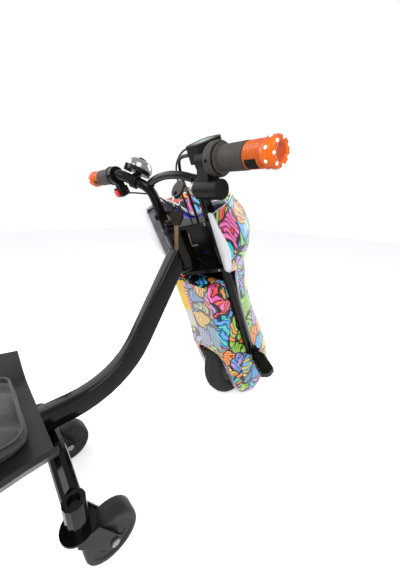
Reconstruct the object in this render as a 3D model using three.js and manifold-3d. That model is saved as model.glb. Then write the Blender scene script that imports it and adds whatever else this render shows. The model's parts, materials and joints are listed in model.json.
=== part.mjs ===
// An electric drift tricycle for a seated child: one driven front wheel in a steered
// fork, a bent main tube, a bucket seat, and two free casters under the seat.
// Millimetres and degrees, +Z up. The tricycle faces -Y, and +X is the rider's left.
import * as THREE from 'three';
import { mergeVertices } from 'three/addons/utils/BufferGeometryUtils.js';
import Module from 'manifold-3d';

const wasm = await Module();
wasm.setup();

// Clearances shared by all pieces
const seatGap = 0.3; // between pieces that touch
const runningGap = 0.3; // round a shaft that turns
const overrun = 3; // how far a cutting body runs past what it cuts

// Steering geometry
const rake = 26.5; // degrees that the steering axis leans back
const steeringOffset = 35; // steering axis behind the fork legs

// Front wheel
const wheelRadius = 123;
const tyreWidth = 50;
const tyreSeatRadius = 80;
const rimWidth = 36;
const rimDrop = 7; // depth of the rim's well below the tyre seat
const hubRadius = 52;
const hubWidth = 62;
const hubBossRadius = 20;
const hubBossWidth = 84;
const axleRadius = 8;
const axleNutRadius = 14;
const axleNutDepth = 7;
const treadGroove = 2.4; // depth and width of each tread groove

// Fork legs and handlebar
const barRadius = 11;
const legSpread = 80; // each leg from the middle
const legFoot = 98.6; // lower end of the legs above the axle
const legAbovePlate = 71.6; // from the upper plate's base to where the legs bend outward
const legBend = 40;
const barKneeOut = 138; // where the bar levels into the grips
const barKneeBack = 24;
const barKneeRise = 42.3; // from the legs' bend up to the knee
const barKneeBend = 30;
const gripSweep = 5; // degrees that the grips point back
const crossbarRadius = 7.6;
const crossbarAbovePlate = 76.6; // the crossbar's ends above the upper plate's base
const crossbarRise = 17;

// Yoke plates, head tube and stem
const plateDepth = 8.6;
const upperPlateBase = 487.4;
const plateSpacing = 108.4; // from the lower plate's base to the upper plate's
const legBoss = 18; // radius of the plate round each leg
const stemBoss = 25; // radius of the plate round the stem
const stemRadius = 12;
const stemHeadRadius = 15;
const stemHeadDepth = 6;
const headTubeRadius = 23.5;
const headTubeWall = 4;
const headCupDepth = 7;
const headCupLip = 3; // how far a cup stands out past the head tube
const headCupChamfer = 0.9;
const headCupSkirt = 9; // depth of the cup inside the head tube
const headCupSkirtWall = 2;

// Main tube
const mainTubeWide = 30;
const mainTubeTall = 42;
const mainTubeCorner = 5;
const mainTubeWall = 2.5;
const mainTubeSlope = 58; // degrees that the front run falls
const mainTubeHeight = 232; // middle of the level run above the floor
const mainTubeBend = 177;
const mainTubeRear = 716; // rear end behind the front axle
const endCapLip = 3;
const endCapPlug = 14;

// Rear crossbeam and casters
const casterSpread = 115; // each swivel from the middle
const crossbeamBehindBend = 36.578; // crossbeam and swivels behind the main tube's bend
const crossbeamRadius = 15;
const crossbeamFlat = 46; // half of the level middle part
const crossbeamBend = 36;
const crossbeamEndHeight = 138;
const casterWheelRadius = 45;
const casterWheelWidth = 36;
const casterHubRadius = 24;
const casterGroove = 2; // depth of the rings in the wheel's face
const casterLead = 43; // wheel centre from its swivel
const casterPinRadius = 5;
const casterPlate = 4; // thickness of the caster's cheeks and crown
const casterCheekGap = 2.6; // between the wheel and a cheek
const casterCrownRadius = 27;
const casterCrownHeight = 107; // underside of the crown
const casterStemRadius = 9;
const casterStemLength = 48;
const casterHousingRadius = 17;
const casterHousingLength = 56;

// Seat
const seatFront = 536; // front lip behind the front axle
const seatPanLength = 190;
const seatBackHeight = 190;
const seatBackLean = 14; // degrees
const seatWidth = 300;
const seatWall = 4.5;
const seatBolster = 44; // rise of the shell's sides
const seatBendRadius = 52;
const seatFrontDrop = 3;
const seatPadThick = 30;
const seatPadWidth = 184;
const seatPadLength = 158;
const backPadHeight = 148;
const backPadThick = 24;
const padChannel = 3; // depth of the sewn channels
const padClear = 0.4; // between the back pad and the shell
const bracketPlate = 4;
const bracketWidth = 120;
const bracketLength = 110;
const bracketSkirt = 30;

// Axle brackets and footpegs
const axleBracketPlate = 6;
const axleBracketRadius = 21;
const axleBracketNeck = 10; // half of its width at the leg
const legStep = 24; // depth of the step that the leg stands on
const pegRootOut = 92; // outer end of the step under the leg
const pegArm = 14; // length of the ears from there to the pin
const pegPivotUp = 100;
const pegSweep = 30; // degrees that the pegs point back
const pegPinRadius = 3.5;
const pegEar = 5;
const pegTongue = 12;
const pegEarRise = 8.5; // half of the ears' height
const pegEarBack = 12; // the ears' length behind the pin
const pegSlotDeep = 6; // depth of the slots in the peg's edges
const pegFold = 90; // degrees that a peg folds up
const pegLength = 80;
const pegWidth = 36;
const pegDepth = 20;
const pegTooth = 3;
const pegTeeth = 4;

// Battery housing behind the legs
const coverHalfWidth = 75;
const coverSkirtHalfWidth = 82;
const coverTopDrop = 34; // the housing's top below the lower plate
const coverSill = 137; // where the closed housing starts above the wheel
const coverFoot = -92;
const coverBackReach = 79; // behind the legs
const coverWall = 3.5;
const coverFrontReach = 10.6;
const coverSkirtReach = 24; // ahead of the legs, under them
const wheelSlotHalfWidth = 45;
const wheelSlotTop = 128;
const wheelSlotFillet = 24;
const socketRadius = 10.5;
const socketBore = 7;
const socketHeight = 3;
const socketDeep = 12;
const socketLip = 2;
const socketBack = 32;
const capThick = 3;
const capHingeRadius = 2.2;
const rockerAcross = 40;
const rockerWide = 21;
const rockerLong = 15;
const rockerDeep = 12;
const rockerTilt = 8; // degrees

// Front shield
const shieldFoot = -93;
const shieldTopRise = 28.6; // above the upper plate's base
const shieldHalfWidth = 134;
const shieldReach = 131; // ahead of the legs
const shieldWall = 3.5;
const shieldLip = 8; // width of the rolled rear edge
const shieldWingReturn = 100; // where the wings' rear flanges end
const shieldRearHigh = -23;
const deckDish = 38; // how far the top deck dips behind
const deckDishWidth = 58;
const deckRear = 32; // rear rim of the deck ahead of the legs
const lampDrop = 98; // the lamp's middle below the shield's top
const lampReach = 134;
const lampRadius = 33;
const lampLip = 5;
const lampDepth = 34;
const lampWall = 3;
const lensCrown = 7;

// Battery pack and its bracket, inside the shield
const packHalfWidth = 52;
const packFar = 74;
const packTopDrop = 25.4; // the pack's top below the upper plate's base
const packLong = 162;
const packFillet = 8;
const trayWall = 3;
const trayLip = 22;

// Throttle housing, display and key lock on the right grip
const collarRadius = 22.8;
const clampRadius = 19;
const collarStart = 15;
const collarEnd = 28;
const clampStart = -10;
const podInner = -34;
const podOuter = 10;
const podRear = 14;
const podFront = 34;
const podTop = 25;
const podEdge = 12;
const podCorner = 9; // cut off each corner of the pod's outline
const windowInset = 7;
const windowDepth = 2;
const lockBack = 18.7;
const lockDrop = 35;
const lockRadius = 14.5;
const lockInner = -28;
const lockOuter = 42;
const lockRingRadius = 11.5;
const lockRingLength = 6;
const lockRingChamfer = 0.9;
const lockBarrelRadius = 9;
const lockBore = 4.5;
const lockBarrelDepth = 24;
const keyHeadRadius = 15.5;
const keyHeadThick = 5.6;
const keyBladeWide = 8;
const keyBladeThick = 2.2;
const keyBladeReach = 16; // blade inside the barrel
const keyHeadOut = 46; // head's middle from the lock's face
const keyHoleRadius = 4.9;
const spareHoleRadius = 4.3;
const keyHoleInset = 6;
const keyTurn = 51; // degrees that the ignition key stands turned
const ringTurn = 20; // degrees that the hanging keys are turned from the rider's way
const ringRadius = 11;
const ringWire = 0.9;
const ringSag = 0.2; // how far the ring hangs below the middle of the key's hole
const spareSag = 1.9; // and the spare key's hole below the ring's middle line
const spareHeadWide = 25;
const spareHeadTall = 34;
const spareBlade = 46;

// Grips and bar ends
const gripRadius = 17;
const gripStart = 29;
const gripEnd = 77.5;
const gripFlange = 20;
const gripFlangeDepth = 4;
const gripRibs = 5;
const gripRibDepth = 0.8;
const barrelRadius = 16.4;
const barrelEnd = 103;
const barrelGrooves = 6;
const barrelGrooveDepth = 0.9;
const barrelPatchWide = 14;
const barrelPatchLong = 17;
const barrelPatchDepth = 1;
const headEnd = 123;
const headRadius = 18;
const headFaceRadius = 10.5;
const headDish = 2.5;

// Bell, and the horn switch on the left grip
const bellShare = 0.5; // where the bell sits along the rising part of the bar
const bellRoll = 38; // degrees that it leans forward
const bellLift = 27;
const bellBandWide = 14;
const bellBandWall = 4;
const bellBaseRadius = 25.5;
const bellBaseDepth = 9;
const bellDomeRadius = 27.5;
const bellDomeHeight = 21;
const bellDomeWall = 1.6;
const bellLeverWide = 11;
const bellLeverLong = 15;
const bellLeverThick = 3.5;
const switchCollarRadius = 18.5;
const switchCollarStart = 12;
const switchCollarEnd = 28;
const switchBoxLong = 26;
const switchBoxWide = 22;
const switchBoxTall = 20;
const switchBoxDrop = 36;
const switchBoxInner = 10;
const hornLong = 14; // width of the button along the grip
const hornDeep = 8;
const hornInset = 3;
const hornTravel = 2.5;

// Cables
const cableRadius = 2.9;
const leadRadius = 1.7;
const cableSides = 8;
const cableClear = 0.9; // from a cable's end to the box it enters
const cableStraight = 9; // straight length at each end of a cable

// Heights up the fork that follow from the upper plate's place
const lowerPlateBase = upperPlateBase - plateSpacing;
const legTop = upperPlateBase + legAbovePlate;
const barKneeUp = legTop + barKneeRise;
const crossbarEnd = upperPlateBase + crossbarAbovePlate;
const coverTop = lowerPlateBase - coverTopDrop;
const shieldTop = upperPlateBase + shieldTopRise;
const lampHeight = shieldTop - lampDrop;
const packTop = upperPlateBase - packTopDrop;
const packFoot = packTop - packLong;

// Numbers of sides, and turns, shared by the round pieces
const roundSides = 26;
const tubeSides = 12;
const smallSides = 12;
const bendSteps = 6;
const rightAngle = 90; // degrees
const halfTurn = 180; // degrees

const radians = (angle) => THREE.MathUtils.degToRad(angle);
const half = (length) => length / 2;

// Finishes: colour, roughness, metalness
const finishes = {
  glossBlack: [0x0b0b0c, 0.22, 0.35],
  satinBlack: [0x17181a, 0.5, 0.1],
  rubber: [0x2a2826, 0.8, 0],
  tyre: [0x1b1b1c, 0.85, 0],
  steel: [0xb9bcc0, 0.35, 0.9],
  chrome: [0xd9dbde, 0.12, 1],
  orange: [0xe8590c, 0.3, 0.05],
  blue: [0x2c8fd6, 0.4, 0],
  pink: [0xd860a8, 0.4, 0],
  packBlue: [0x1a22b8, 0.4, 0],
  red: [0xd4151b, 0.4, 0],
  clear: [0xdfe7ea, 0.1, 0],
  green: [0x118a55, 0.3, 0],
  brass: [0x9b6b34, 0.4, 0.8],
  vinyl: [0x1d1d1f, 0.6, 0],
};

function finish(name) {
  const [color, roughness, metalness] = finishes[name];
  return new THREE.MeshStandardMaterial({ color, roughness, metalness });
}

function addPiece(parent, name, finishName, geometry) {
  const mesh = new THREE.Mesh(geometry, finish(finishName));
  mesh.name = name;
  parent.add(mesh);
  return mesh;
}

// Positions only, with shared corners merged
function bareMesh(geometry) {
  const bare = geometry.clone();
  bare.deleteAttribute('normal');
  bare.deleteAttribute('uv');
  return mergeVertices(bare);
}

function signedVolume(positions, corners) {
  const a = new THREE.Vector3();
  const b = new THREE.Vector3();
  const c = new THREE.Vector3();
  let volume = 0;
  for (let i = 0; i < corners.length; i += 3) {
    a.fromArray(positions, corners[i] * 3);
    b.fromArray(positions, corners[i + 1] * 3);
    c.fromArray(positions, corners[i + 2] * 3);
    volume += a.dot(b.cross(c));
  }
  return volume;
}

// The same closed mesh with its faces pointing out
function facingOut(geometry) {
  const mesh = bareMesh(geometry);
  const corners = mesh.index.array;
  if (signedVolume(mesh.attributes.position.array, corners) < 0) {
    for (let i = 0; i < corners.length; i += 3) {
      [corners[i + 1], corners[i + 2]] = [corners[i + 2], corners[i + 1]];
    }
  }
  mesh.computeVertexNormals();
  return mesh;
}

function toSolid(geometry) {
  const mesh = bareMesh(facingOut(geometry));
  return new wasm.Manifold(new wasm.Mesh({
    numProp: 3,
    vertProperties: new Float32Array(mesh.attributes.position.array),
    triVerts: new Uint32Array(mesh.index.array),
  }));
}

function toGeometry(solid) {
  const mesh = solid.getMesh();
  const geometry = new THREE.BufferGeometry();
  geometry.setAttribute('position', new THREE.BufferAttribute(mesh.vertProperties, 3));
  geometry.setIndex(new THREE.BufferAttribute(mesh.triVerts, 1));
  geometry.computeVertexNormals();
  return geometry;
}

function cut(base, ...tools) {
  return toGeometry(tools.reduce((solid, tool) => solid.subtract(toSolid(tool)), toSolid(base)));
}

function join(base, ...others) {
  return toGeometry(others.reduce((solid, other) => solid.add(toSolid(other)), toSolid(base)));
}

function common(base, other) {
  return toGeometry(toSolid(base).intersect(toSolid(other)));
}

// A closed body of revolution about Z, from [radius, height] pairs
function revolve(profile, sides = roundSides) {
  const points = profile.map(([radius, height]) => new THREE.Vector2(radius, height));
  return facingOut(new THREE.LatheGeometry(points, sides).rotateX(radians(rightAngle)));
}

// The same about X, from [radius, place along X] pairs
function revolveX(profile, sides = roundSides) {
  return revolve(profile, sides).rotateY(radians(rightAngle));
}

function rod(radius, low, high, sides = roundSides) {
  return revolve([[0, low], [radius, low], [radius, high], [0, high]], sides);
}

function rodX(radius, low, high, sides = roundSides) {
  return rod(radius, low, high, sides).rotateY(radians(rightAngle));
}

function rodY(radius, low, high, sides = roundSides) {
  return rod(radius, low, high, sides).rotateX(radians(-rightAngle));
}

// A tube wall about Z between two heights
function sleeve(inner, outer, low, high, sides = roundSides) {
  return revolve([[inner, low], [outer, low], [outer, high], [inner, high], [inner, low]], sides);
}

function sleeveX(inner, outer, low, high, sides = roundSides) {
  return sleeve(inner, outer, low, high, sides).rotateY(radians(rightAngle));
}

// A block between two corners
function block([x0, y0, z0], [x1, y1, z1]) {
  return new THREE.BoxGeometry(x1 - x0, y1 - y0, z1 - z0)
    .translate(half(x0 + x1), half(y0 + y1), half(z0 + z1));
}

function outline(points) {
  return new THREE.Shape(points.map(([x, y]) => new THREE.Vector2(x, y)));
}

// An outline drawn on X and Y, raised along Z from low to high
function raise(shape, low, high) {
  return new THREE.ExtrudeGeometry(shape, { depth: high - low, bevelEnabled: false, curveSegments: bendSteps })
    .translate(0, 0, low);
}

// An outline drawn on Y and Z, drawn out along X from low to high
function raiseX(shape, low, high) {
  return raise(shape, low, high).rotateX(radians(rightAngle)).rotateZ(radians(rightAngle));
}

// An outline drawn on X and Z, drawn out along Y from low to high
function raiseY(shape, low, high) {
  return raise(shape, -high, -low).rotateX(radians(rightAngle));
}

function roundedRectangle(width, height, corner, steps = 3) {
  const points = [];
  const middles = [[1, 1], [-1, 1], [-1, -1], [1, -1]];
  middles.forEach(([right, up], quarter) => {
    for (let step = 0; step <= steps; step += 1) {
      const angle = radians(rightAngle * (quarter + step / steps));
      points.push([
        right * (half(width) - corner) + corner * Math.cos(angle),
        up * (half(height) - corner) + corner * Math.sin(angle),
      ]);
    }
  });
  return points;
}

function circle(radius, sides = tubeSides) {
  return Array.from({ length: sides }, (_, side) => {
    const angle = radians(2 * halfTurn * side / sides);
    return [radius * Math.cos(angle), radius * Math.sin(angle)];
  });
}

// A run through corners with round bends: stations lie only at its ends and in its bends
class BentRun extends THREE.Curve {
  constructor(corners, bendRadii, stepsInBend = bendSteps) {
    super();
    this.stations = [];
    const directions = corners.slice(1).map((corner, i) => corner.clone().sub(corners[i]).normalize());
    this.addStation(corners[0], directions[0]);
    bendRadii.forEach((radius, i) => {
      const corner = corners[i + 1];
      const before = directions[i];
      const after = directions[i + 1];
      const turn = before.angleTo(after);
      const setback = radius * Math.tan(half(turn));
      const inward = after.clone().addScaledVector(before, -Math.cos(turn)).normalize();
      const start = corner.clone().addScaledVector(before, -setback);
      for (let step = 0; step <= stepsInBend; step += 1) {
        const angle = turn * step / stepsInBend;
        const point = start.clone()
          .addScaledVector(before, radius * Math.sin(angle))
          .addScaledVector(inward, radius * (1 - Math.cos(angle)));
        const tangent = before.clone().multiplyScalar(Math.cos(angle)).addScaledVector(inward, Math.sin(angle));
        this.addStation(point, tangent);
      }
    });
    this.addStation(corners[corners.length - 1], directions[directions.length - 1]);
  }

  addStation(point, tangent) {
    this.stations.push({ point: point.clone(), tangent: tangent.clone().normalize() });
  }

  stationAt(share) {
    return this.stations[Math.round(share * (this.stations.length - 1))];
  }

  getPoint(share) {
    return this.stationAt(share).point.clone();
  }

  getPointAt(share) {
    return this.stationAt(share).point.clone();
  }

  getTangentAt(share) {
    return this.stationAt(share).tangent.clone();
  }
}

// A solid bar of the given section carried along a run
function sweep(section, run, steps = run.stations.length - 1) {
  return facingOut(new THREE.ExtrudeGeometry(outline(section), { steps, extrudePath: run, bevelEnabled: false }));
}

// A skin through closed rings of equal count, closed by flat ends; each ring is an array of Vector3
function loft(levels) {
  const flat = (ring) => ring.map((point) => new THREE.Vector2(point.x, point.y));
  const backward = THREE.ShapeUtils.isClockWise(flat(levels[0]));
  const rings = levels.map((ring) => (backward ? ring.slice().reverse() : ring));
  const count = rings[0].length;
  const positions = rings.flat().flatMap((point) => point.toArray());
  const corners = [];
  for (let ring = 0; ring + 1 < rings.length; ring += 1) {
    for (let i = 0; i < count; i += 1) {
      const here = ring * count + i;
      const next = ring * count + (i + 1) % count;
      corners.push(here, next, next + count, here, next + count, here + count);
    }
  }
  const last = (rings.length - 1) * count;
  THREE.ShapeUtils.triangulateShape(flat(rings[0]), []).forEach(([a, b, c]) => corners.push(a, c, b));
  THREE.ShapeUtils.triangulateShape(flat(rings[rings.length - 1]), [])
    .forEach(([a, b, c]) => corners.push(last + a, last + b, last + c));
  const geometry = new THREE.BufferGeometry();
  geometry.setAttribute('position', new THREE.Float32BufferAttribute(positions, 3));
  geometry.setIndex(corners);
  return facingOut(geometry);
}

// A closed slab between two surfaces over the same grid; each is a function of two shares
function slab(upper, lower, acrossSteps, alongSteps) {
  const positions = [];
  for (const surface of [upper, lower]) {
    for (let j = 0; j <= alongSteps; j += 1) {
      for (let i = 0; i <= acrossSteps; i += 1) {
        positions.push(...surface(i / acrossSteps, j / alongSteps));
      }
    }
  }
  const row = acrossSteps + 1;
  const sheet = row * (alongSteps + 1);
  const corners = [];
  const quad = (a, b, c, d) => corners.push(a, b, c, a, c, d);
  for (let j = 0; j < alongSteps; j += 1) {
    for (let i = 0; i < acrossSteps; i += 1) {
      const a = j * row + i;
      quad(a, a + 1, a + 1 + row, a + row);
      quad(sheet + a, sheet + a + row, sheet + a + row + 1, sheet + a + 1);
    }
  }
  for (let i = 0; i < acrossSteps; i += 1) {
    const end = alongSteps * row + i;
    quad(i, sheet + i, sheet + i + 1, i + 1);
    quad(end, end + 1, sheet + end + 1, sheet + end);
  }
  for (let j = 0; j < alongSteps; j += 1) {
    const left = j * row;
    const right = left + acrossSteps;
    quad(left, left + row, sheet + left + row, sheet + left);
    quad(right, sheet + right, sheet + right + row, right + row);
  }
  const geometry = new THREE.BufferGeometry();
  geometry.setAttribute('position', new THREE.Float32BufferAttribute(positions, 3));
  geometry.setIndex(corners);
  return facingOut(geometry);
}

const vector = (x, y, z) => new THREE.Vector3(x, y, z);
const sides = [['left', 1], ['right', -1]];

// The fork's own frame: X to the rider's left, Y back, Z up along the legs, origin on the axle
const tricycle = new THREE.Group();
const fork = new THREE.Group();
fork.position.set(0, 0, wheelRadius);
fork.rotation.x = radians(-rake);
tricycle.add(fork);

// A point of the fork's frame as it stands above the floor
function standing(x, y, z) {
  return vector(x, y, z).applyEuler(fork.rotation).add(fork.position);
}

// Front wheel: a tyre with a grooved tread on a hub motor
function frontTyre() {
  const halfWidth = half(tyreWidth);
  const halfRim = half(rimWidth);
  const sidewallShare = 0.55;
  const shoulderShare = 0.86;
  const crownShare = 0.4;
  const depth = wheelRadius - tyreSeatRadius;
  const shoulder = tyreSeatRadius + depth * shoulderShare;
  const sidewall = tyreSeatRadius + depth * sidewallShare;
  const profile = [
    [tyreSeatRadius, -halfRim],
    [sidewall, -halfWidth],
    [shoulder, -halfWidth * shoulderShare],
    [wheelRadius - treadGroove, -halfWidth * crownShare - treadGroove],
    [wheelRadius, -halfWidth * crownShare],
    [wheelRadius, -treadGroove],
    [wheelRadius - treadGroove, 0],
    [wheelRadius, treadGroove],
    [wheelRadius, halfWidth * crownShare],
    [wheelRadius - treadGroove, halfWidth * crownShare + treadGroove],
    [shoulder, halfWidth * shoulderShare],
    [sidewall, halfWidth],
    [tyreSeatRadius, halfRim],
    [tyreSeatRadius, -halfRim],
  ];
  return revolveX(profile, roundSides + smallSides);
}

function hubMotor() {
  const rim = tyreSeatRadius - seatGap;
  const bore = axleRadius + runningGap;
  const web = half(rimWidth) - rimDrop;
  const halfProfile = [
    [rim, half(rimWidth) + seatGap],
    [rim - rimDrop, half(rimWidth) + seatGap],
    [rim - rimDrop, web],
    [hubRadius, web],
    [hubRadius, half(hubWidth) - rimDrop],
    [hubRadius - rimDrop, half(hubWidth)],
    [hubBossRadius, half(hubWidth)],
    [hubBossRadius, half(hubBossWidth)],
    [bore, half(hubBossWidth)],
  ];
  const mirrored = halfProfile.map(([radius, along]) => [radius, -along]).reverse();
  return revolveX([...halfProfile, ...mirrored, halfProfile[0]], roundSides);
}

const bracketInner = legSpread - barRadius - seatGap - axleBracketPlate;
const axleEnd = bracketInner + axleBracketPlate + seatGap + axleNutDepth;

// The axle with its hexagon nuts drawn up
function frontAxle() {
  const hexSides = 6;
  const shaft = rodX(axleRadius, -axleEnd - seatGap, axleEnd + seatGap, smallSides);
  const nuts = sides.map(([, side]) => {
    const near = side * (bracketInner + axleBracketPlate + seatGap);
    return rodX(axleNutRadius, Math.min(near, side * axleEnd), Math.max(near, side * axleEnd), hexSides);
  });
  return join(shaft, ...nuts);
}

addPiece(fork, 'front_tyre', 'tyre', frontTyre());
addPiece(fork, 'hub_motor', 'satinBlack', hubMotor());
addPiece(fork, 'front_axle', 'steel', frontAxle());

// Fork legs and bars: each side is one bent tube
const gripTurn = (side) => (side > 0 ? radians(gripSweep) : radians(halfTurn - gripSweep));
const gripDirection = (side) => vector(Math.cos(gripTurn(side)), Math.sin(gripTurn(side)), 0);
const barKnee = (side) => vector(side * barKneeOut, barKneeBack, barKneeUp);
const barTop = (side) => vector(side * legSpread, 0, legTop);

function barRun(side) {
  const foot = vector(side * legSpread, 0, legFoot);
  const end = barKnee(side).addScaledVector(gripDirection(side), barrelEnd - seatGap * 2);
  return new BentRun([foot, barTop(side), barKnee(side), end], [legBend, barKneeBend]);
}

const barWithGap = (side) => sweep(circle(barRadius + seatGap), barRun(side));

for (const [word, side] of sides) {
  addPiece(fork, `handlebar_${word}`, 'glossBlack', sweep(circle(barRadius), barRun(side)));
}

function crossbar() {
  const steps = 8;
  const start = vector(legSpread + half(barRadius), 0, crossbarEnd);
  const middle = vector(0, 0, crossbarEnd + 2 * crossbarRise);
  const end = start.clone().setX(-start.x);
  const run = new THREE.QuadraticBezierCurve3(start, middle, end);
  return cut(sweep(circle(crossbarRadius, smallSides), run, steps), barWithGap(1), barWithGap(-1));
}

addPiece(fork, 'crossbar', 'glossBlack', crossbar());

// Yoke plates: bosses round the two legs and the stem, joined by tangent edges
function yokePlate(base) {
  const reach = Math.hypot(legSpread, steeringOffset);
  const toStem = Math.atan2(steeringOffset, -legSpread);
  const tangent = toStem - Math.acos((legBoss - stemBoss) / reach);
  const quarter = radians(rightAngle);
  const shape = new THREE.Shape();
  shape.absarc(legSpread, 0, legBoss, -quarter, tangent, false);
  shape.absarc(0, steeringOffset, stemBoss, tangent, 2 * quarter - tangent, false);
  shape.absarc(-legSpread, 0, legBoss, 2 * quarter - tangent, 3 * quarter, false);
  const plate = raise(shape, base, base + plateDepth);
  const low = base - overrun;
  const high = base + plateDepth + overrun;
  const legHoles = sides.map(([, side]) => rod(barRadius + seatGap, low, high).translate(side * legSpread, 0, 0));
  return cut(plate, ...legHoles, rod(stemRadius + seatGap, low, high).translate(0, steeringOffset, 0));
}

addPiece(fork, 'lower_yoke_plate', 'glossBlack', yokePlate(lowerPlateBase));
addPiece(fork, 'upper_yoke_plate', 'glossBlack', yokePlate(upperPlateBase));

function steeringStem() {
  const low = lowerPlateBase - seatGap;
  const high = upperPlateBase + plateDepth + seatGap;
  return revolve([
    [0, low - stemHeadDepth],
    [stemHeadRadius, low - stemHeadDepth],
    [stemHeadRadius, low],
    [stemRadius, low],
    [stemRadius, high],
    [stemHeadRadius, high],
    [stemHeadRadius, high + stemHeadDepth],
    [0, high + stemHeadDepth],
  ], smallSides).translate(0, steeringOffset, 0);
}

addPiece(fork, 'steering_stem', 'steel', steeringStem());

// Head tube and its bearing cups belong to the frame, on the steering axis
const head = new THREE.Group();
head.position.copy(fork.position);
head.rotation.copy(fork.rotation);
tricycle.add(head);

const headLow = lowerPlateBase + plateDepth + seatGap + headCupDepth + seatGap;
const headHigh = upperPlateBase - seatGap - headCupDepth - seatGap;
const headBore = headTubeRadius - headTubeWall;

function headCup(face, inward) {
  const outer = headTubeRadius + headCupLip;
  const bore = stemRadius + runningGap;
  const seat = face - inward * headCupDepth;
  const skirt = headBore - seatGap;
  return revolve([
    [bore, seat],
    [outer - headCupChamfer, seat],
    [outer, seat + inward * half(headCupLip)],
    [outer, face],
    [skirt, face],
    [skirt, face + inward * headCupSkirt],
    [skirt - headCupSkirtWall, face + inward * headCupSkirt],
    [skirt - headCupSkirtWall, face],
    [bore, face],
    [bore, seat],
  ]).translate(0, steeringOffset, 0);
}

addPiece(head, 'head_tube', 'glossBlack',
  sleeve(headBore, headTubeRadius, headLow, headHigh).translate(0, steeringOffset, 0));
addPiece(head, 'lower_head_cup', 'steel', headCup(headLow - seatGap, 1));
addPiece(head, 'upper_head_cup', 'steel', headCup(headHigh + seatGap, -1));

// Main tube: falls from the head tube, bends level and runs back under the seat
const headJoint = standing(0, steeringOffset, half(headLow + headHigh));
const mainTubeCornerBack = headJoint.y + (headJoint.z - mainTubeHeight) / Math.tan(radians(mainTubeSlope));
const mainTubeBendEnd = mainTubeCornerBack + mainTubeBend * Math.tan(radians(half(mainTubeSlope)));

function mainTube() {
  const run = new BentRun([
    headJoint,
    vector(0, mainTubeCornerBack, mainTubeHeight),
    vector(0, mainTubeRear, mainTubeHeight),
  ], [mainTubeBend], bendSteps + 2);
  const bore = new BentRun([
    headJoint,
    vector(0, mainTubeCornerBack, mainTubeHeight),
    vector(0, mainTubeRear + overrun, mainTubeHeight),
  ], [mainTubeBend], bendSteps + 2);
  const outer = sweep(roundedRectangle(mainTubeWide, mainTubeTall, mainTubeCorner), run);
  const inner = sweep(roundedRectangle(
    mainTubeWide - 2 * mainTubeWall,
    mainTubeTall - 2 * mainTubeWall,
    mainTubeCorner - mainTubeWall,
    1,
  ), bore);
  const socket = rod(headTubeRadius + seatGap, headLow - mainTubeTall, headHigh + mainTubeTall)
    .translate(0, steeringOffset, 0)
    .rotateX(fork.rotation.x)
    .translate(0, 0, wheelRadius);
  const beyond = block([-mainTubeWide, -mainTubeTall, 0], [mainTubeWide, steeringOffset, headHigh + mainTubeTall])
    .rotateX(fork.rotation.x)
    .translate(0, 0, wheelRadius);
  return cut(outer, inner, socket, beyond);
}

addPiece(tricycle, 'main_tube', 'glossBlack', mainTube());

function tubeEndCap() {
  const lip = raiseY(outline(roundedRectangle(mainTubeWide, mainTubeTall, mainTubeCorner)),
    mainTubeRear + seatGap, mainTubeRear + seatGap + endCapLip);
  const clear = mainTubeWall + seatGap;
  const plug = raiseY(outline(roundedRectangle(mainTubeWide - 2 * clear, mainTubeTall - 2 * clear,
    mainTubeCorner - mainTubeWall, 1)), mainTubeRear - endCapPlug, mainTubeRear + half(endCapLip));
  return join(lip, plug).translate(0, 0, mainTubeHeight);
}

addPiece(tricycle, 'tube_end_cap', 'satinBlack', tubeEndCap());

// Rear crossbeam: level under the main tube, falling to the caster housings
const casterAxisBack = mainTubeBendEnd + crossbeamBehindBend;
const crossbeamHeight = mainTubeHeight - half(mainTubeTall) - seatGap - crossbeamRadius;
const housingBase = casterCrownHeight + casterPlate + runningGap;

function casterHousing(side) {
  return sleeve(casterStemRadius + runningGap, casterHousingRadius, housingBase, housingBase + casterHousingLength,
    smallSides).translate(side * casterSpread, casterAxisBack, 0);
}

function rearCrossbeam() {
  const corners = [
    vector(-casterSpread, casterAxisBack, crossbeamEndHeight),
    vector(-crossbeamFlat, casterAxisBack, crossbeamHeight),
    vector(crossbeamFlat, casterAxisBack, crossbeamHeight),
    vector(casterSpread, casterAxisBack, crossbeamEndHeight),
  ];
  const run = new BentRun(corners, [crossbeamBend, crossbeamBend], bendSteps - 2);
  const sockets = sides.map(([, side]) => rod(casterHousingRadius + seatGap, 0, crossbeamHeight + casterHousingLength,
    smallSides).translate(side * casterSpread, casterAxisBack, 0));
  const beyond = sides.map(([, side]) => {
    const near = side * casterSpread;
    const far = side * (casterSpread + 2 * crossbeamRadius + casterHousingRadius);
    return block(
      [Math.min(near, far), casterAxisBack - 2 * crossbeamRadius, 0],
      [Math.max(near, far), casterAxisBack + 2 * crossbeamRadius, crossbeamHeight + casterHousingLength],
    );
  });
  return cut(sweep(circle(crossbeamRadius), run), ...sockets, ...beyond);
}

addPiece(tricycle, 'rear_crossbeam', 'glossBlack', rearCrossbeam());
for (const [word, side] of sides) {
  addPiece(tricycle, `caster_housing_${word}`, 'glossBlack', casterHousing(side));
}

// Casters, shown swung forward: the wheel leads its swivel
const cheekInner = half(casterWheelWidth) + casterCheekGap;
const cheekOuter = cheekInner + casterPlate;

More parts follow.
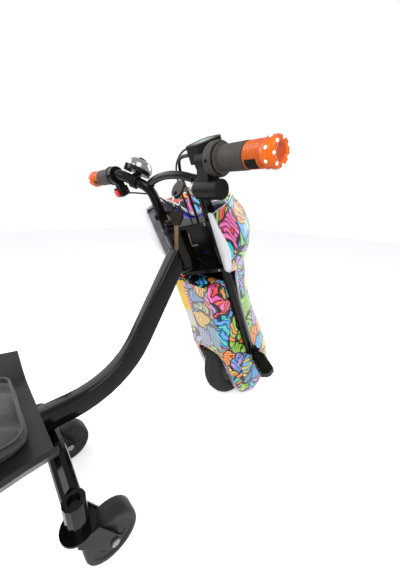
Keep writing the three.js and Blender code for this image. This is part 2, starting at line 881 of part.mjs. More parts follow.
function casterFork() {
  const crown = rod(casterCrownRadius, casterCrownHeight, casterCrownHeight + casterPlate);
  const stem = rod(casterStemRadius, casterCrownHeight, casterCrownHeight + casterPlate + casterStemLength, smallSides);
  const eye = casterPinRadius + casterPlate * 2;
  const tipShare = 0.36;
  const cheekShape = outline([
    [casterCrownRadius * tipShare, casterCrownHeight + half(casterPlate)],
    [casterCrownRadius * tipShare, casterCrownHeight - casterPlate * 2],
    [-casterLead + eye, casterWheelRadius - eye * tipShare],
    [-casterLead + eye * tipShare, casterWheelRadius - eye],
    [-casterLead - eye * tipShare, casterWheelRadius - eye],
    [-casterLead - eye, casterWheelRadius],
    [-casterLead - eye * tipShare, casterWheelRadius + eye],
    [-casterCrownRadius + casterPlate, casterCrownHeight + half(casterPlate)],
  ]);
  const cheeks = [-cheekOuter, cheekInner].map((low) => raiseX(cheekShape, low, low + casterPlate));
  const pin = rodX(casterPinRadius, -cheekOuter - casterPlate, cheekOuter + casterPlate, smallSides)
    .translate(0, -casterLead, casterWheelRadius);
  return join(crown, stem, ...cheeks, pin);
}

function casterWheel() {
  const halfWidth = half(casterWheelWidth);
  const bore = casterPinRadius + runningGap;
  const ringShare = 0.78;
  const crownShare = 0.72;
  const halfProfile = [
    [casterWheelRadius, halfWidth * crownShare],
    [casterWheelRadius - casterGroove, halfWidth],
    [casterWheelRadius * ringShare, halfWidth],
    [casterWheelRadius * ringShare - casterGroove, halfWidth - casterGroove],
    [casterHubRadius, halfWidth - casterGroove],
    [casterHubRadius - casterGroove, halfWidth - 2 * casterGroove],
    [bore + 2 * casterGroove, halfWidth - 2 * casterGroove],
    [bore + 2 * casterGroove, halfWidth + casterGroove],
    [bore, halfWidth + casterGroove],
  ];
  const mirrored = halfProfile.map(([radius, along]) => [radius, -along]).reverse();
  return revolveX([...halfProfile, ...mirrored, halfProfile[0]])
    .translate(0, -casterLead, casterWheelRadius);
}

for (const [word, side] of sides) {
  const caster = new THREE.Group();
  caster.position.set(side * casterSpread, casterAxisBack, 0);
  tricycle.add(caster);
  addPiece(caster, `caster_fork_${word}`, 'steel', casterFork());
  addPiece(caster, `caster_wheel_${word}`, 'tyre', casterWheel());
}

// Rows of the seat shell's grid, and the shares of them in the pan and in the bend
const seatRows = 20;
const seatColumns = 14;
const panRowShare = 0.25;
const bendRowShare = 0.4;

// Seat bracket: a saddle over the main tube
const tubeTop = mainTubeHeight + half(mainTubeTall);
const seatBase = tubeTop + seatGap + bracketPlate + seatGap;

function seatBracket() {
  const front = seatFront + seatPanLength / (seatRows * panRowShare) + seatGap;
  const low = tubeTop + seatGap;
  const plate = raise(outline(roundedRectangle(bracketWidth, bracketLength, mainTubeCorner)), low, low + bracketPlate)
    .translate(0, front + half(bracketLength), 0);
  const skirts = sides.map(([, side]) => {
    const near = side * (half(mainTubeWide) + seatGap);
    const far = near + side * bracketPlate;
    return block(
      [Math.min(near, far), front, low - bracketSkirt],
      [Math.max(near, far), front + bracketLength, low + half(bracketPlate)],
    );
  });
  return join(plate, ...skirts);
}

addPiece(tricycle, 'seat_bracket', 'glossBlack', seatBracket());

// Seat shell: one moulded sheet, from its front lip over the pan and up the back
const panEnd = seatFront + seatPanLength;
const backTurn = radians(rightAngle - seatBackLean);
const bendRun = seatBendRadius * backTurn;

function seatAlong(share) {
  if (share < panRowShare) {
    return seatPanLength * share / panRowShare;
  }
  if (share < panRowShare + bendRowShare) {
    return seatPanLength + bendRun * (share - panRowShare) / bendRowShare;
  }
  const backShare = (share - panRowShare - bendRowShare) / (1 - panRowShare - bendRowShare);
  return seatPanLength + bendRun + seatBackHeight * backShare;
}

// A place on the seat's middle line, and the way its sides rise there
function seatLine(share) {
  const along = seatAlong(share);
  if (along < seatPanLength) {
    const toLip = Math.max(0, 1 - along / seatFrontDrop / 2);
    return { back: seatFront + along, up: -seatFrontDrop * toLip * toLip, normal: [0, 1] };
  }
  const turned = Math.min((along - seatPanLength) / seatBendRadius, backTurn);
  const climbed = Math.max(0, along - seatPanLength - bendRun);
  const back = panEnd + seatBendRadius * Math.sin(turned) + climbed * Math.cos(backTurn);
  const up = seatBendRadius * (1 - Math.cos(turned)) + climbed * Math.sin(backTurn);
  return { back, up, normal: [-Math.sin(turned), Math.cos(turned)] };
}

// The sheet's upper face when offset is zero, and its underside when it is the wall
function seatSurface(offset) {
  const shoulderShare = 0.66;
  const narrowShare = 0.16;
  return (across, share) => {
    const place = seatLine(share);
    const x = (across * 2 - 1);
    const rise = Math.max(0, Math.abs(x) - shoulderShare) / (1 - shoulderShare);
    const backness = Math.max(0, share - panRowShare - bendRowShare) / (1 - panRowShare - bendRowShare);
    const lift = seatBolster * rise * rise * (1 - half(backness)) - offset;
    const corner = 1 - narrowShare * backness ** 2 - narrowShare * half(Math.max(0, 1 - share / half(panRowShare)));
    return [
      x * (half(seatWidth) + offset * Math.abs(x)) * corner,
      place.back + place.normal[0] * lift,
      seatBase + seatWall + place.up + place.normal[1] * lift,
    ];
  };
}

addPiece(tricycle, 'seat_shell', 'satinBlack', slab(seatSurface(0), seatSurface(seatWall), seatColumns, seatRows));

// A pad: a flat base with rounded sides and a crowned top, sewn into two channels
function pad(width, length, thick, channelDepth) {
  const sideShare = 0.9;
  const channelShare = 0.5;
  const channelWideShare = 0.111;
  const squareness = 6;
  const columns = 12;
  const rows = 10;
  const crown = (x, y) => (1 - x ** squareness) * (1 - y ** squareness);
  const channel = (x, y) => channelDepth * crown(x, y)
    * Math.exp(-(((Math.abs(x) - channelShare) / channelWideShare) ** 2));
  const spread = (u) => (u * 2 - 1) * (1 + (1 - (u * 2 - 1) ** 2) * (1 - sideShare));
  const upper = (u, v) => {
    const x = spread(u);
    const y = spread(v);
    const height = thick * (half(1) + half(1) * crown(x, y) ** half(1)) - channel(x, y);
    return [
      x * half(width) * (1 - y ** squareness * (1 - sideShare)),
      y * half(length) * (1 - x ** squareness * (1 - sideShare)),
      height,
    ];
  };
  const lower = (u, v) => {
    const [x, y] = upper(u, v);
    return [x * sideShare, y * sideShare, 0];
  };
  return slab(upper, lower, columns, rows);
}

const padSeat = seatBase + seatWall + seatGap;

addPiece(tricycle, 'seat_pad', 'vinyl',
  pad(seatPadWidth, seatPadLength, seatPadThick, padChannel)
    .translate(0, seatFront + half(seatPanLength) + seatGap, padSeat));

function backPad() {
  const middle = seatLine(1 - half(1 - panRowShare - bendRowShare));
  return pad(seatPadWidth, backPadHeight, backPadThick, padChannel)
    .translate(0, 0, padClear)
    .rotateX(backTurn)
    .translate(0, middle.back, seatBase + seatWall + middle.up);
}

addPiece(tricycle, 'back_pad', 'vinyl', backPad());

// Axle brackets: a plate inside each leg, the step the leg stands on, and the peg's ears
const pegPivot = (side) => vector(
  side * (pegRootOut + pegArm * Math.cos(radians(pegSweep))),
  pegArm * Math.sin(radians(pegSweep)),
  pegPivotUp,
);

// Peg frame: X out along the peg, origin on its pin
function inPegFrame(side, geometry) {
  const turn = side > 0 ? radians(pegSweep) : radians(halfTurn - pegSweep);
  return geometry.rotateZ(turn).translate(...pegPivot(side).toArray());
}

function axleBracket(side) {
  const eye = axleBracketRadius;
  const shape = new THREE.Shape();
  shape.absarc(0, 0, eye, radians(halfTurn), radians(2 * halfTurn), false);
  shape.lineTo(axleBracketNeck, legFoot - legStep);
  shape.lineTo(axleBracketNeck, legFoot + legStep);
  shape.lineTo(-axleBracketNeck, legFoot + legStep);
  shape.lineTo(-axleBracketNeck, legFoot - legStep);
  const low = side > 0 ? bracketInner : -bracketInner - axleBracketPlate;
  const plate = raiseX(shape, low, low + axleBracketPlate);
  const stepTop = legFoot - seatGap;
  const stepEnds = [side * bracketInner, side * pegRootOut];
  const step = block(
    [Math.min(...stepEnds), -axleBracketNeck, stepTop - legStep],
    [Math.max(...stepEnds), axleBracketNeck, stepTop],
  );
  const earInner = half(pegTongue) + runningGap;
  const ears = [-earInner - pegEar, earInner].map((low) => inPegFrame(side,
    block([-pegEarBack, low, -pegEarRise], [pegPinRadius * 2, low + pegEar, pegEarRise])));
  const pin = inPegFrame(side, rodY(pegPinRadius, -earInner - pegEar * 2, earInner + pegEar * 2, smallSides));
  const axleHole = rodX(axleRadius + seatGap, -axleEnd, axleEnd, smallSides);
  return cut(join(plate, step, ...ears, pin), axleHole);
}

function footpeg(side) {
  const tongueHalf = half(pegTongue);
  const deckStart = pegPinRadius * 2 + pegEar;
  const deckTop = half(pegDepth);
  const tongueRise = pegEarRise - runningGap;
  const tongue = block([-pegPinRadius * 2, -tongueHalf, -tongueRise], [deckStart + pegEar, tongueHalf, tongueRise]);
  const taperShare = 0.62;
  const slotGapShare = 0.2;
  const pegSlots = 3;
  const chamfer = pegWidth * (1 - taperShare);
  const deckShape = outline([
    [deckStart, -half(pegWidth) * taperShare],
    [deckStart + chamfer, -half(pegWidth)],
    [pegLength - half(chamfer), -half(pegWidth)],
    [pegLength, -half(pegWidth) + chamfer],
    [pegLength, half(pegWidth) - chamfer],
    [pegLength - half(chamfer), half(pegWidth)],
    [deckStart + chamfer, half(pegWidth)],
    [deckStart, half(pegWidth) * taperShare],
  ]);
  const deck = raise(deckShape, -deckTop, deckTop - pegTooth);
  const slotSpan = (pegLength - deckStart - 2 * chamfer) / pegSlots;
  const slots = [];
  for (let slot = 0; slot < pegSlots; slot += 1) {
    for (const edge of [-1, 1]) {
      const low = deckStart + chamfer + slotSpan * (slot + slotGapShare);
      const depths = [edge * (half(pegWidth) - pegSlotDeep), edge * (half(pegWidth) + overrun)];
      slots.push(block(
        [low, Math.min(...depths), -deckTop + pegTooth],
        [low + slotSpan * (1 - 2 * slotGapShare), Math.max(...depths), deckTop - 2 * pegTooth],
      ));
    }
  }
  const pitch = (pegLength - half(chamfer) - deckStart - chamfer) / pegTeeth;
  const toothShape = outline([[0, 0], [pitch, 0], [pitch * taperShare, pegTooth], [pitch * (1 - taperShare), pegTooth]]);
  const teeth = [];
  for (let tooth = 0; tooth < pegTeeth; tooth += 1) {
    for (const low of [-half(pegWidth), half(pegWidth) - pegTooth]) {
      teeth.push(raiseY(toothShape, low, low + pegTooth)
        .translate(deckStart + chamfer + pitch * tooth, 0, deckTop - pegTooth));
    }
  }
  const lug = rodY(tongueRise, -tongueHalf, tongueHalf, smallSides);
  const pinHole = rodY(pegPinRadius + runningGap, -pegTongue, pegTongue, smallSides);
  const back = block([-pegLength, -pegWidth, -pegDepth], [-pegPinRadius * 2, pegWidth, pegDepth]);
  const flat = cut(join(cut(deck, ...slots), tongue, lug, ...teeth), pinHole, back);
  return inPegFrame(side, flat.rotateY(-radians(side > 0 ? pegFold : 0)));
}

for (const [word, side] of sides) {
  addPiece(fork, `axle_bracket_${word}`, 'steel', axleBracket(side));
  addPiece(fork, `footpeg_${word}`, 'glossBlack', footpeg(side));
}

// Battery housing: a closed box behind the legs, with skirts down both sides of the wheel
const coverLevelShares = [
  // height, widening into the skirt, reach back
  [0, 0.2, 0.72],
  [0.073, 0.9, 0.92],
  [0.188, 1, 1],
  [0.362, 1, 1],
  [0.439, 0, 1],
  [0.517, 0, 1],
  [0.638, 0, 0.85],
  [0.966, 0, 0.7],
  [1, -0.4, 0.64],
];
const coverFlatShare = 0.76; // flat part of the back, of the half width
const coverChamferShare = 0.3; // depth of the corner chamfer, of the back's reach

function coverRings(inset, low, high, frontEdge) {
  return coverLevelShares.map(([heightShare, skirtShare, backShare]) => {
    const height = THREE.MathUtils.clamp(coverFoot + (coverTop - coverFoot) * heightShare, low, high);
    const side = coverHalfWidth + (coverSkirtHalfWidth - coverHalfWidth) * skirtShare - inset;
    const flat = side * coverFlatShare;
    const back = coverBackReach * backShare - inset;
    const corner = coverBackReach * (backShare - coverChamferShare) - half(inset);
    return [[side, frontEdge], [side, corner], [flat, back], [-flat, back], [-side, corner], [-side, frontEdge]]
      .map(([x, y]) => vector(x, y, height));
  });
}

function rearCover() {
  const frontEdge = -coverSkirtReach;
  const outer = loft(coverRings(0, coverFoot, coverTop, frontEdge));
  const wellRings = coverRings(coverWall, coverFoot - overrun, coverTop, frontEdge - overrun)
    .filter((ring) => ring[0].z < coverSill);
  const wellTop = wellRings[wellRings.length - 1].map((point) => point.clone().setZ(coverSill));
  wellRings[0].forEach((point) => point.setZ(coverFoot - overrun));
  const well = loft([...wellRings, wellTop]);
  const wide = 2 * coverSkirtHalfWidth;
  const legRoom = block([-wide, -2 * coverSkirtReach, legFoot - legStep - 2 * overrun],
    [wide, coverFrontReach, coverTop + overrun]);
  const slotTall = 2 * (wheelSlotTop - coverFoot);
  const slot = raiseY(outline(roundedRectangle(2 * wheelSlotHalfWidth, slotTall, wheelSlotFillet)),
    coverFrontReach + coverWall, coverBackReach + overrun).translate(0, 0, wheelSlotTop - half(slotTall));
  const socketHole = rod(socketRadius + seatGap, coverTop - socketDeep - seatGap, coverTop + overrun)
    .translate(0, socketBack, 0);
  const rockerHole = block(
    [rockerAcross - half(rockerWide), socketBack - half(rockerLong), coverTop - rockerDeep],
    [rockerAcross + half(rockerWide), socketBack + half(rockerLong), coverTop + overrun],
  );
  return cut(outer, well, legRoom, slot, socketHole, rockerHole);
}

addPiece(fork, 'rear_cover', 'blue', rearCover());

// Charging socket with its hinged cap
const capRadius = socketRadius + half(socketLip);
const capHingeBack = socketBack + capRadius + capHingeRadius;
const capBase = coverTop + socketHeight + seatGap;
const capHingeUp = capBase + half(capThick);
const capKnuckle = 4.5; // half length of the cap's knuckle

function chargeSocket() {
  const body = revolve([
    [0, coverTop - socketDeep],
    [socketRadius, coverTop - socketDeep],
    [socketRadius, coverTop + socketHeight],
    [socketBore, coverTop + socketHeight],
    [socketBore, coverTop - socketDeep + socketLip],
    [0, coverTop - socketDeep + socketLip],
  ]).translate(0, socketBack, 0);
  const earNear = capKnuckle + runningGap;
  const strap = block(
    [-earNear - socketLip, socketBack + socketBore + socketLip, coverTop + seatGap],
    [earNear + socketLip, capHingeBack + capHingeRadius, coverTop + socketLip],
  );
  const ears = sides.map(([, side]) => {
    const near = side * earNear;
    const far = side * (earNear + socketLip);
    return block(
      [Math.min(near, far), capHingeBack - capHingeRadius, coverTop + seatGap],
      [Math.max(near, far), capHingeBack + capHingeRadius, capHingeUp + capHingeRadius],
    );
  });
  const pin = rodX(half(capHingeRadius), -earNear - half(socketLip), earNear + half(socketLip), cableSides)
    .translate(0, capHingeBack, capHingeUp);
  return join(body, strap, ...ears, pin);
}

function chargeCap() {
  const disc = rod(capRadius, capBase, capBase + capThick).translate(0, socketBack, 0);
  const knuckle = rodX(capHingeRadius, -capKnuckle, capKnuckle, smallSides).translate(0, capHingeBack, capHingeUp);
  const tab = block([-capKnuckle, socketBack, capBase], [capKnuckle, capHingeBack, capBase + capThick]);
  const hole = rodX(half(capHingeRadius) + runningGap, -2 * capKnuckle, 2 * capKnuckle, cableSides)
    .translate(0, capHingeBack, capHingeUp);
  return cut(join(disc, tab, knuckle), hole);
}

addPiece(fork, 'charge_socket', 'satinBlack', chargeSocket());
addPiece(fork, 'charge_cap', 'satinBlack', chargeCap());

// Power switch: a bezel in the housing's top and the rocker in it
const bezelWall = 1.6;
const bezelRise = 1.2;
const rockerHalf = half(rockerWide) - seatGap - bezelWall - runningGap;
const rockerPivotUp = coverTop + bezelRise;

function switchBezel() {
  const outerX = half(rockerWide) - seatGap;
  const outerY = half(rockerLong) - seatGap;
  const floor = coverTop - rockerDeep + seatGap;
  const body = block([-outerX, -outerY, floor], [outerX, outerY, coverTop + bezelRise]);
  const flange = block(
    [-outerX - bezelWall, -outerY - bezelWall, coverTop + seatGap],
    [outerX + bezelWall, outerY + bezelWall, coverTop + bezelRise],
  );
  const room = block(
    [-outerX + bezelWall, -outerY + bezelWall, floor + bezelWall],
    [outerX - bezelWall, outerY - bezelWall, coverTop + overrun],
  );
  return cut(join(body, flange), room).translate(rockerAcross, socketBack, 0);
}

function powerRocker() {
  const rise = 2 * bezelRise;
  const keelShare = 0.5;
  const keelDeepShare = 0.65;
  const waistShare = 0.97;
  const endShare = 0.95;
  const keel = rockerHalf * keelShare;
  const shape = outline([
    [-rockerHalf * waistShare, 0],
    [-keel, -keel],
    [0, -rockerHalf * keelDeepShare],
    [keel, -keel],
    [rockerHalf * waistShare, 0],
    [rockerHalf * endShare, rise],
    [0, bezelRise],
    [-rockerHalf * endShare, rise],
  ]);
  const halfLong = half(rockerLong) - seatGap - bezelWall - runningGap;
  return raiseY(shape, -halfLong, halfLong)
    .rotateY(radians(rockerTilt))
    .translate(rockerAcross, socketBack, rockerPivotUp);
}

addPiece(fork, 'switch_bezel', 'satinBlack', switchBezel());
addPiece(fork, 'power_rocker', 'red', powerRocker());

// Front shield: an open moulding round the front of the wheel and legs, with a nose and two wings
const shieldLevelShares = [
  // height, half width, reach ahead, rear edge: -1 at the foot, 0 at the legs, 1 on the wings
  [0, 0.657, 0.9, -1],
  [0.098, 0.672, 0.947, -1],
  [0.153, 0.672, 1, -1],
  [0.27, 0.672, 0.92, -1],
  [0.3, 0.672, 0.9, 0],
  [0.475, 0.657, 0.77, 0],
  [0.609, 0.672, 0.77, 0],
  [0.719, 0.735, 0.825, 0],
  [0.764, 0.79, 0.87, 0],
  [0.788, 0.85, 0.91, 1],
  [0.818, 0.93, 0.96, 1],
  [0.88, 1, 1, 1],
  [0.926, 0.948, 0.985, 1],
  [0.95, 0.9, 0.92, 1],
  [1, 0.86, 0.765, 1],
];
const shieldArcSteps = 12;
const shieldRearLow = barRadius + seatGap;
const shieldRearFoot = coverSkirtReach + seatGap;

function shieldLevel([heightShare, widthShare, reachShare, rearShare]) {
  const rear = rearShare < 0 ? shieldRearFoot : shieldRearLow + (shieldRearHigh - shieldRearLow) * rearShare;
  return {
    height: shieldFoot + (shieldTop - shieldFoot) * heightShare,
    halfWidth: shieldHalfWidth * widthShare,
    reach: shieldReach * reachShare,
    rear,
    wing: Math.max(rearShare, 0),
  };
}

// Half an ellipse round the front, then straight back to the rear edge
function shieldPath({ halfWidth, reach, rear }, inset) {
  const wide = halfWidth - inset;
  const deep = reach - inset;
  const edge = rear + inset;
  const first = Math.asin(Math.max(edge, 0) / deep);
  const points = [];
  for (let step = 0; step <= shieldArcSteps; step += 1) {
    const angle = first + (Math.PI - 2 * first) * step / shieldArcSteps;
    points.push([wide * Math.cos(angle), -deep * Math.sin(angle)]);
  }
  const side = points[0][0];
  return [[side, -edge], ...points, [-side, -edge]];
}

function shieldRing(level) {
  const outer = shieldPath(level, 0);
  const inner = shieldPath(level, shieldWall);
  const side = outer[0][0];
  const rolled = side - shieldLip;
  const lip = rolled + (Math.min(shieldWingReturn, rolled) - rolled) * level.wing;
  const edge = -level.rear;
  return [
    [lip, edge], ...outer, [-lip, edge],
    [-lip, edge - shieldWall], ...inner.reverse(), [lip, edge - shieldWall],
  ].map(([x, y]) => vector(x, y, level.height));
}

// The top deck dips towards its rear rim, between the wings
function deckHeight(x, ahead) {
  const fade = THREE.MathUtils.clamp((shieldReach - ahead) / (shieldReach - deckRear), 0, 1);
  return shieldTop - shieldWall - deckDish * Math.exp(-((x / deckDishWidth) ** 2)) * fade;
}

function shieldDeck() {
  const levels = shieldLevelShares.map(shieldLevel).filter(({ wing }) => wing > 0);
  const inset = half(shieldWall);
  const whole = loft(levels.map((level) => {
    const path = shieldPath({ ...level, rear: level.rear }, inset);
    const corner = level.halfWidth - shieldWall - shieldLip;
    const rim = [[-corner, -level.rear - inset], [-corner, -deckRear], [corner, -deckRear], [corner, -level.rear - inset]];
    return [...path, ...rim].map(([x, y]) => vector(x, y, level.height));
  }));
  const wide = shieldHalfWidth + overrun;
  const place = (across, along) => [
    (across * 2 - 1) * wide,
    shieldRearLow + (shieldReach + overrun - shieldRearHigh) * along + shieldRearHigh - shieldRearLow - overrun,
  ];
  const surface = (drop) => (across, along) => {
    const [x, ahead] = place(across, along);
    return [x, -ahead, deckHeight(x, ahead) - drop];
  };
  return common(whole, slab(surface(0), surface(shieldWall), shieldArcSteps, bendSteps));
}

// Lamp frame: Z points level ahead from the nose
function inLampFrame(geometry) {
  return geometry.rotateX(radians(rightAngle + rake)).translate(0, -lampReach, lampHeight);
}

function frontShield() {
  const shell = loft(shieldLevelShares.map(shieldLevel).map(shieldRing));
  const lowFoot = shieldFoot - overrun;
  const frontRise = shieldReach + shieldRearFoot;
  const wedge = raiseX(outline([
    [-shieldRearFoot, lowFoot],
    [-shieldRearFoot - frontRise, lowFoot + frontRise],
    [-shieldRearFoot - frontRise, lowFoot - overrun],
    [-shieldRearFoot, lowFoot - overrun],
  ]), -shieldHalfWidth, shieldHalfWidth);
  const lampBore = lampRadius + seatGap;
  const podFace = -lampLip - seatGap;
  const pod = inLampFrame(rod(lampBore + shieldWall, -lampDepth, podFace));
  const lampHole = inLampFrame(rod(lampBore, -2 * lampDepth, lampDepth));
  const lipRoom = inLampFrame(rod(lampBore + lampLip, podFace, lampDepth));
  return cut(join(shell, shieldDeck(), pod), wedge, lampHole, lipRoom);
}

addPiece(fork, 'front_shield', 'pink', frontShield());

// Headlamp in the nose
function headlamp() {
  const backShare = 0.6;
  return inLampFrame(revolve([
    [0, -lampDepth],
    [lampRadius * backShare, -lampDepth],
    [lampRadius, -lampDepth * backShare],
    [lampRadius, -lampLip],
    [lampRadius + lampLip, -lampLip],
    [lampRadius + lampLip, 0],
    [lampRadius - lampWall, 0],
    [lampRadius - lampWall, -half(lampDepth)],
    [0, -lampDepth + lampWall],
  ]));
}

function headlampLens() {
  const rim = lampRadius - lampWall - seatGap;
  const crownShares = [[1, 0], [0.8, 0.5], [0.45, 0.85], [0, 1]];
  const crown = crownShares.map(([across, out]) => [rim * across, lensCrown * out - half(lampLip)]);
  return inLampFrame(revolve([[0, -lampLip], [rim, -lampLip], ...crown]));
}

addPiece(fork, 'headlamp', 'satinBlack', headlamp());
addPiece(fork, 'headlamp_lens', 'clear', headlampLens());

// Battery tray hangs on the yoke plates, and the pack stands in it
const trayBack = legBoss + seatGap;
const packNear = trayBack + trayWall + seatGap;

function batteryTray() {
  const low = packFoot - seatGap - trayWall;
  const wide = packHalfWidth - packFillet;
  const upright = block([-wide, -trayBack - trayWall, low], [wide, -trayBack, upperPlateBase + plateDepth]);
  const floor = block([-wide, -packFar, low], [wide, -trayBack, low + trayWall]);
  const window = block(
    [-wide + trayLip, -trayBack - 2 * trayWall, lowerPlateBase + plateDepth + trayWall],
    [wide - trayLip, 0, upperPlateBase - trayWall],
  );
  return cut(join(upright, floor), window);
}

function batteryPack() {
  const deep = packFar - packNear;
  return raise(outline(roundedRectangle(2 * packHalfWidth, deep, packFillet)), packFoot, packTop)
    .translate(0, -packNear - half(deep), 0);
}

addPiece(fork, 'battery_tray', 'satinBlack', batteryTray());
addPiece(fork, 'battery_pack', 'packBlue', batteryPack());

// Hand frame: X out along a grip, Z up the fork, origin where the bar levels out
function inHandFrame(side, geometry) {
  return geometry.rotateZ(gripTurn(side)).translate(...barKnee(side).toArray());
}

function handPoint(side, x, y, z) {
  return vector(x, y, z).applyAxisAngle(vector(0, 0, 1), gripTurn(side)).add(barKnee(side));
}

// Throttle housing on the right: collar, bar clamp, display pod, and the lock's barrel below
const right = -1;
const left = 1;

function throttleHousing() {
  const collar = rodX(collarRadius, collarStart, collarEnd);
  const clamp = rodX(clampRadius, clampStart, collarStart + half(seatGap));
  const hipShare = 0.8;
  const podShape = outline([
    [-podRear, podTop - podEdge],
    [-podRear, podTop],
    [podFront, podTop],
    [podFront, podTop - half(podEdge)],
    [clampRadius, podEdge * hipShare],
    [clampRadius * hipShare, 0],
    [-clampRadius * hipShare, 0],
  ]);
  const podPlan = outline([
    [podInner + podCorner, -podRear],
    [podOuter - podCorner, -podRear],
    [podOuter, -podRear + podCorner],
    [podOuter, podFront - podCorner],
    [podOuter - podCorner, podFront],
    [podInner + podCorner, podFront],
    [podInner, podFront - podCorner],
    [podInner, -podRear + podCorner],
  ]);
  const pod = common(raiseX(podShape, podInner, podOuter), raise(podPlan, -overrun, podTop + overrun));
  const web = raiseX(outline([
    [clampRadius * hipShare, 0],
    [-clampRadius * hipShare, 0],
    [-lockBack - lockRadius * hipShare, -lockDrop],
    [-lockBack + lockRadius * hipShare, -lockDrop],
  ]), clampStart, collarStart + half(seatGap));
  const lock = rodX(lockRadius, lockInner, lockOuter).translate(0, -lockBack, -lockDrop);
  const barrelRoom = rodX(lockBarrelRadius + seatGap, lockInner - overrun, lockInner + lockBarrelDepth + seatGap)
    .translate(0, -lockBack, -lockDrop);
  const windowRoom = block(
    [podInner + windowInset, -podRear + windowInset, podTop - windowDepth],
    [podOuter - windowInset, podFront - windowInset, podTop + overrun],
  );
  const housing = cut(join(pod, clamp, collar, web, lock), barrelRoom, windowRoom);
  return cut(inHandFrame(right, housing), barWithGap(right));
}

function displayWindow() {
  const inset = windowInset + seatGap;
  return inHandFrame(right, block(
    [podInner + inset, -podRear + inset, podTop - windowDepth + seatGap],
    [podOuter - inset, podFront - inset, podTop],
  ));
}

function lockBarrel() {
  return inHandFrame(right, revolveX([
    [lockBore, lockInner - lockRingLength],
    [lockRingRadius - lockRingChamfer, lockInner - lockRingLength],
    [lockRingRadius, lockInner - lockRingLength + lockRingChamfer],
    [lockRingRadius, lockInner - seatGap],
    [lockBarrelRadius, lockInner - seatGap],
    [lockBarrelRadius, lockInner + lockBarrelDepth],
    [lockBore, lockInner + lockBarrelDepth],
    [lockBore, lockInner - lockRingLength],
  ], smallSides + half(smallSides)).translate(0, -lockBack, -lockDrop));
}

const keyHeadAlong = lockInner - keyHeadOut;

function ignitionKey() {
  const headDisc = rodY(keyHeadRadius, -half(keyHeadThick), half(keyHeadThick)).translate(keyHeadAlong, 0, 0);
  const blade = block(
    [keyHeadAlong, -half(keyBladeThick), -half(keyBladeWide)],
    [lockInner + keyBladeReach, half(keyBladeThick), half(keyBladeWide)],
  );
  const hole = rodY(keyHoleRadius, -keyHeadThick, keyHeadThick, smallSides)
    .translate(keyHeadAlong, 0, keyHoleInset - keyHeadRadius);
  const turned = cut(join(headDisc, blade), hole).rotateX(radians(-keyTurn));
  return inHandFrame(right, turned.translate(0, -lockBack, -lockDrop));
}

addPiece(fork, 'throttle_housing', 'satinBlack', throttleHousing());
addPiece(fork, 'display_window', 'green', displayWindow());
addPiece(fork, 'lock_barrel', 'chrome', lockBarrel());
addPiece(fork, 'ignition_key', 'satinBlack', ignitionKey());

// Key ring through the key's hole, and the spare key, both hanging straight down
const keyHoleReach = keyHeadRadius - keyHoleInset;
const ringHang = handPoint(
  right,
  keyHeadAlong,
  -lockBack - keyHoleReach * Math.sin(radians(keyTurn)),
  -lockDrop - keyHoleReach * Math.cos(radians(keyTurn)) - ringSag,
);
const ringTop = standing(ringHang.x, ringHang.y, ringHang.z);

function keyRing() {
  const ring = new THREE.TorusGeometry(ringRadius, ringWire, cableSides, roundSides - cableSides);
  return facingOut(ring.rotateY(radians(rightAngle)).rotateZ(radians(ringTurn)))
    .translate(ringTop.x, ringTop.y, ringTop.z - ringRadius);
}

function spareKey() {
  const top = keyHoleInset;
  const wide = half(spareHeadWide);
  const headShares = [[0.55, 0], [1, 0.3], [1, 0.62], [0.55, 1]];
  const rightEdge = headShares.map(([across, down]) => [wide * across, top - spareHeadTall * down]);
  const leftEdge = rightEdge.map(([x, z]) => [-x, z]).reverse();
  const headShape = outline([...rightEdge, ...leftEdge]);
  const headPlate = raiseY(headShape, -half(keyHeadThick), half(keyHeadThick));
  const tip = top - spareHeadTall - spareBlade;
  const bladeHalf = half(keyBladeWide);
  const blade = raiseY(outline([
    [-bladeHalf, top - spareHeadTall + bladeHalf],
    [-bladeHalf, tip + bladeHalf],
    [0, tip],
    [bladeHalf, tip + bladeHalf],
    [bladeHalf, top - spareHeadTall + bladeHalf],
  ]), -half(keyBladeThick), half(keyBladeThick));
  const hole = rodY(spareHoleRadius, -keyHeadThick, keyHeadThick, smallSides);
  return cut(join(headPlate, blade), hole).rotateZ(radians(ringTurn))
    .translate(ringTop.x, ringTop.y, ringTop.z - 2 * ringRadius - spareSag);
}

addPiece(tricycle, 'key_ring', 'chrome', keyRing());
addPiece(tricycle, 'spare_key', 'brass', spareKey());

// Grips: ribbed rubber with a flange at the inner end
function grip(side) {
  const bore = barRadius + runningGap;
  const ribbed = gripEnd - gripStart - gripFlangeDepth;
  const ribSteps = 4;
  const pitch = ribbed / gripRibs / ribSteps;
  const profile = [[bore, gripStart], [gripFlange, gripStart], [gripFlange, gripStart + gripFlangeDepth]];
  for (let rib = 0; rib < gripRibs; rib += 1) {
    const near = gripStart + gripFlangeDepth + pitch * (2 * rib + 1);
    profile.push([gripRadius, near], [gripRadius - gripRibDepth, near + half(pitch)]);
  }
  profile.push([gripRadius, gripStart + gripFlangeDepth + pitch * 2 * gripRibs + pitch]);
  profile.push([gripRadius, gripEnd], [bore, gripEnd], [bore, gripStart]);
  return inHandFrame(side, revolveX(profile, smallSides + half(smallSides)));
}

addPiece(fork, 'throttle_grip', 'rubber', grip(right));
addPiece(fork, 'grip_left', 'rubber', grip(left));

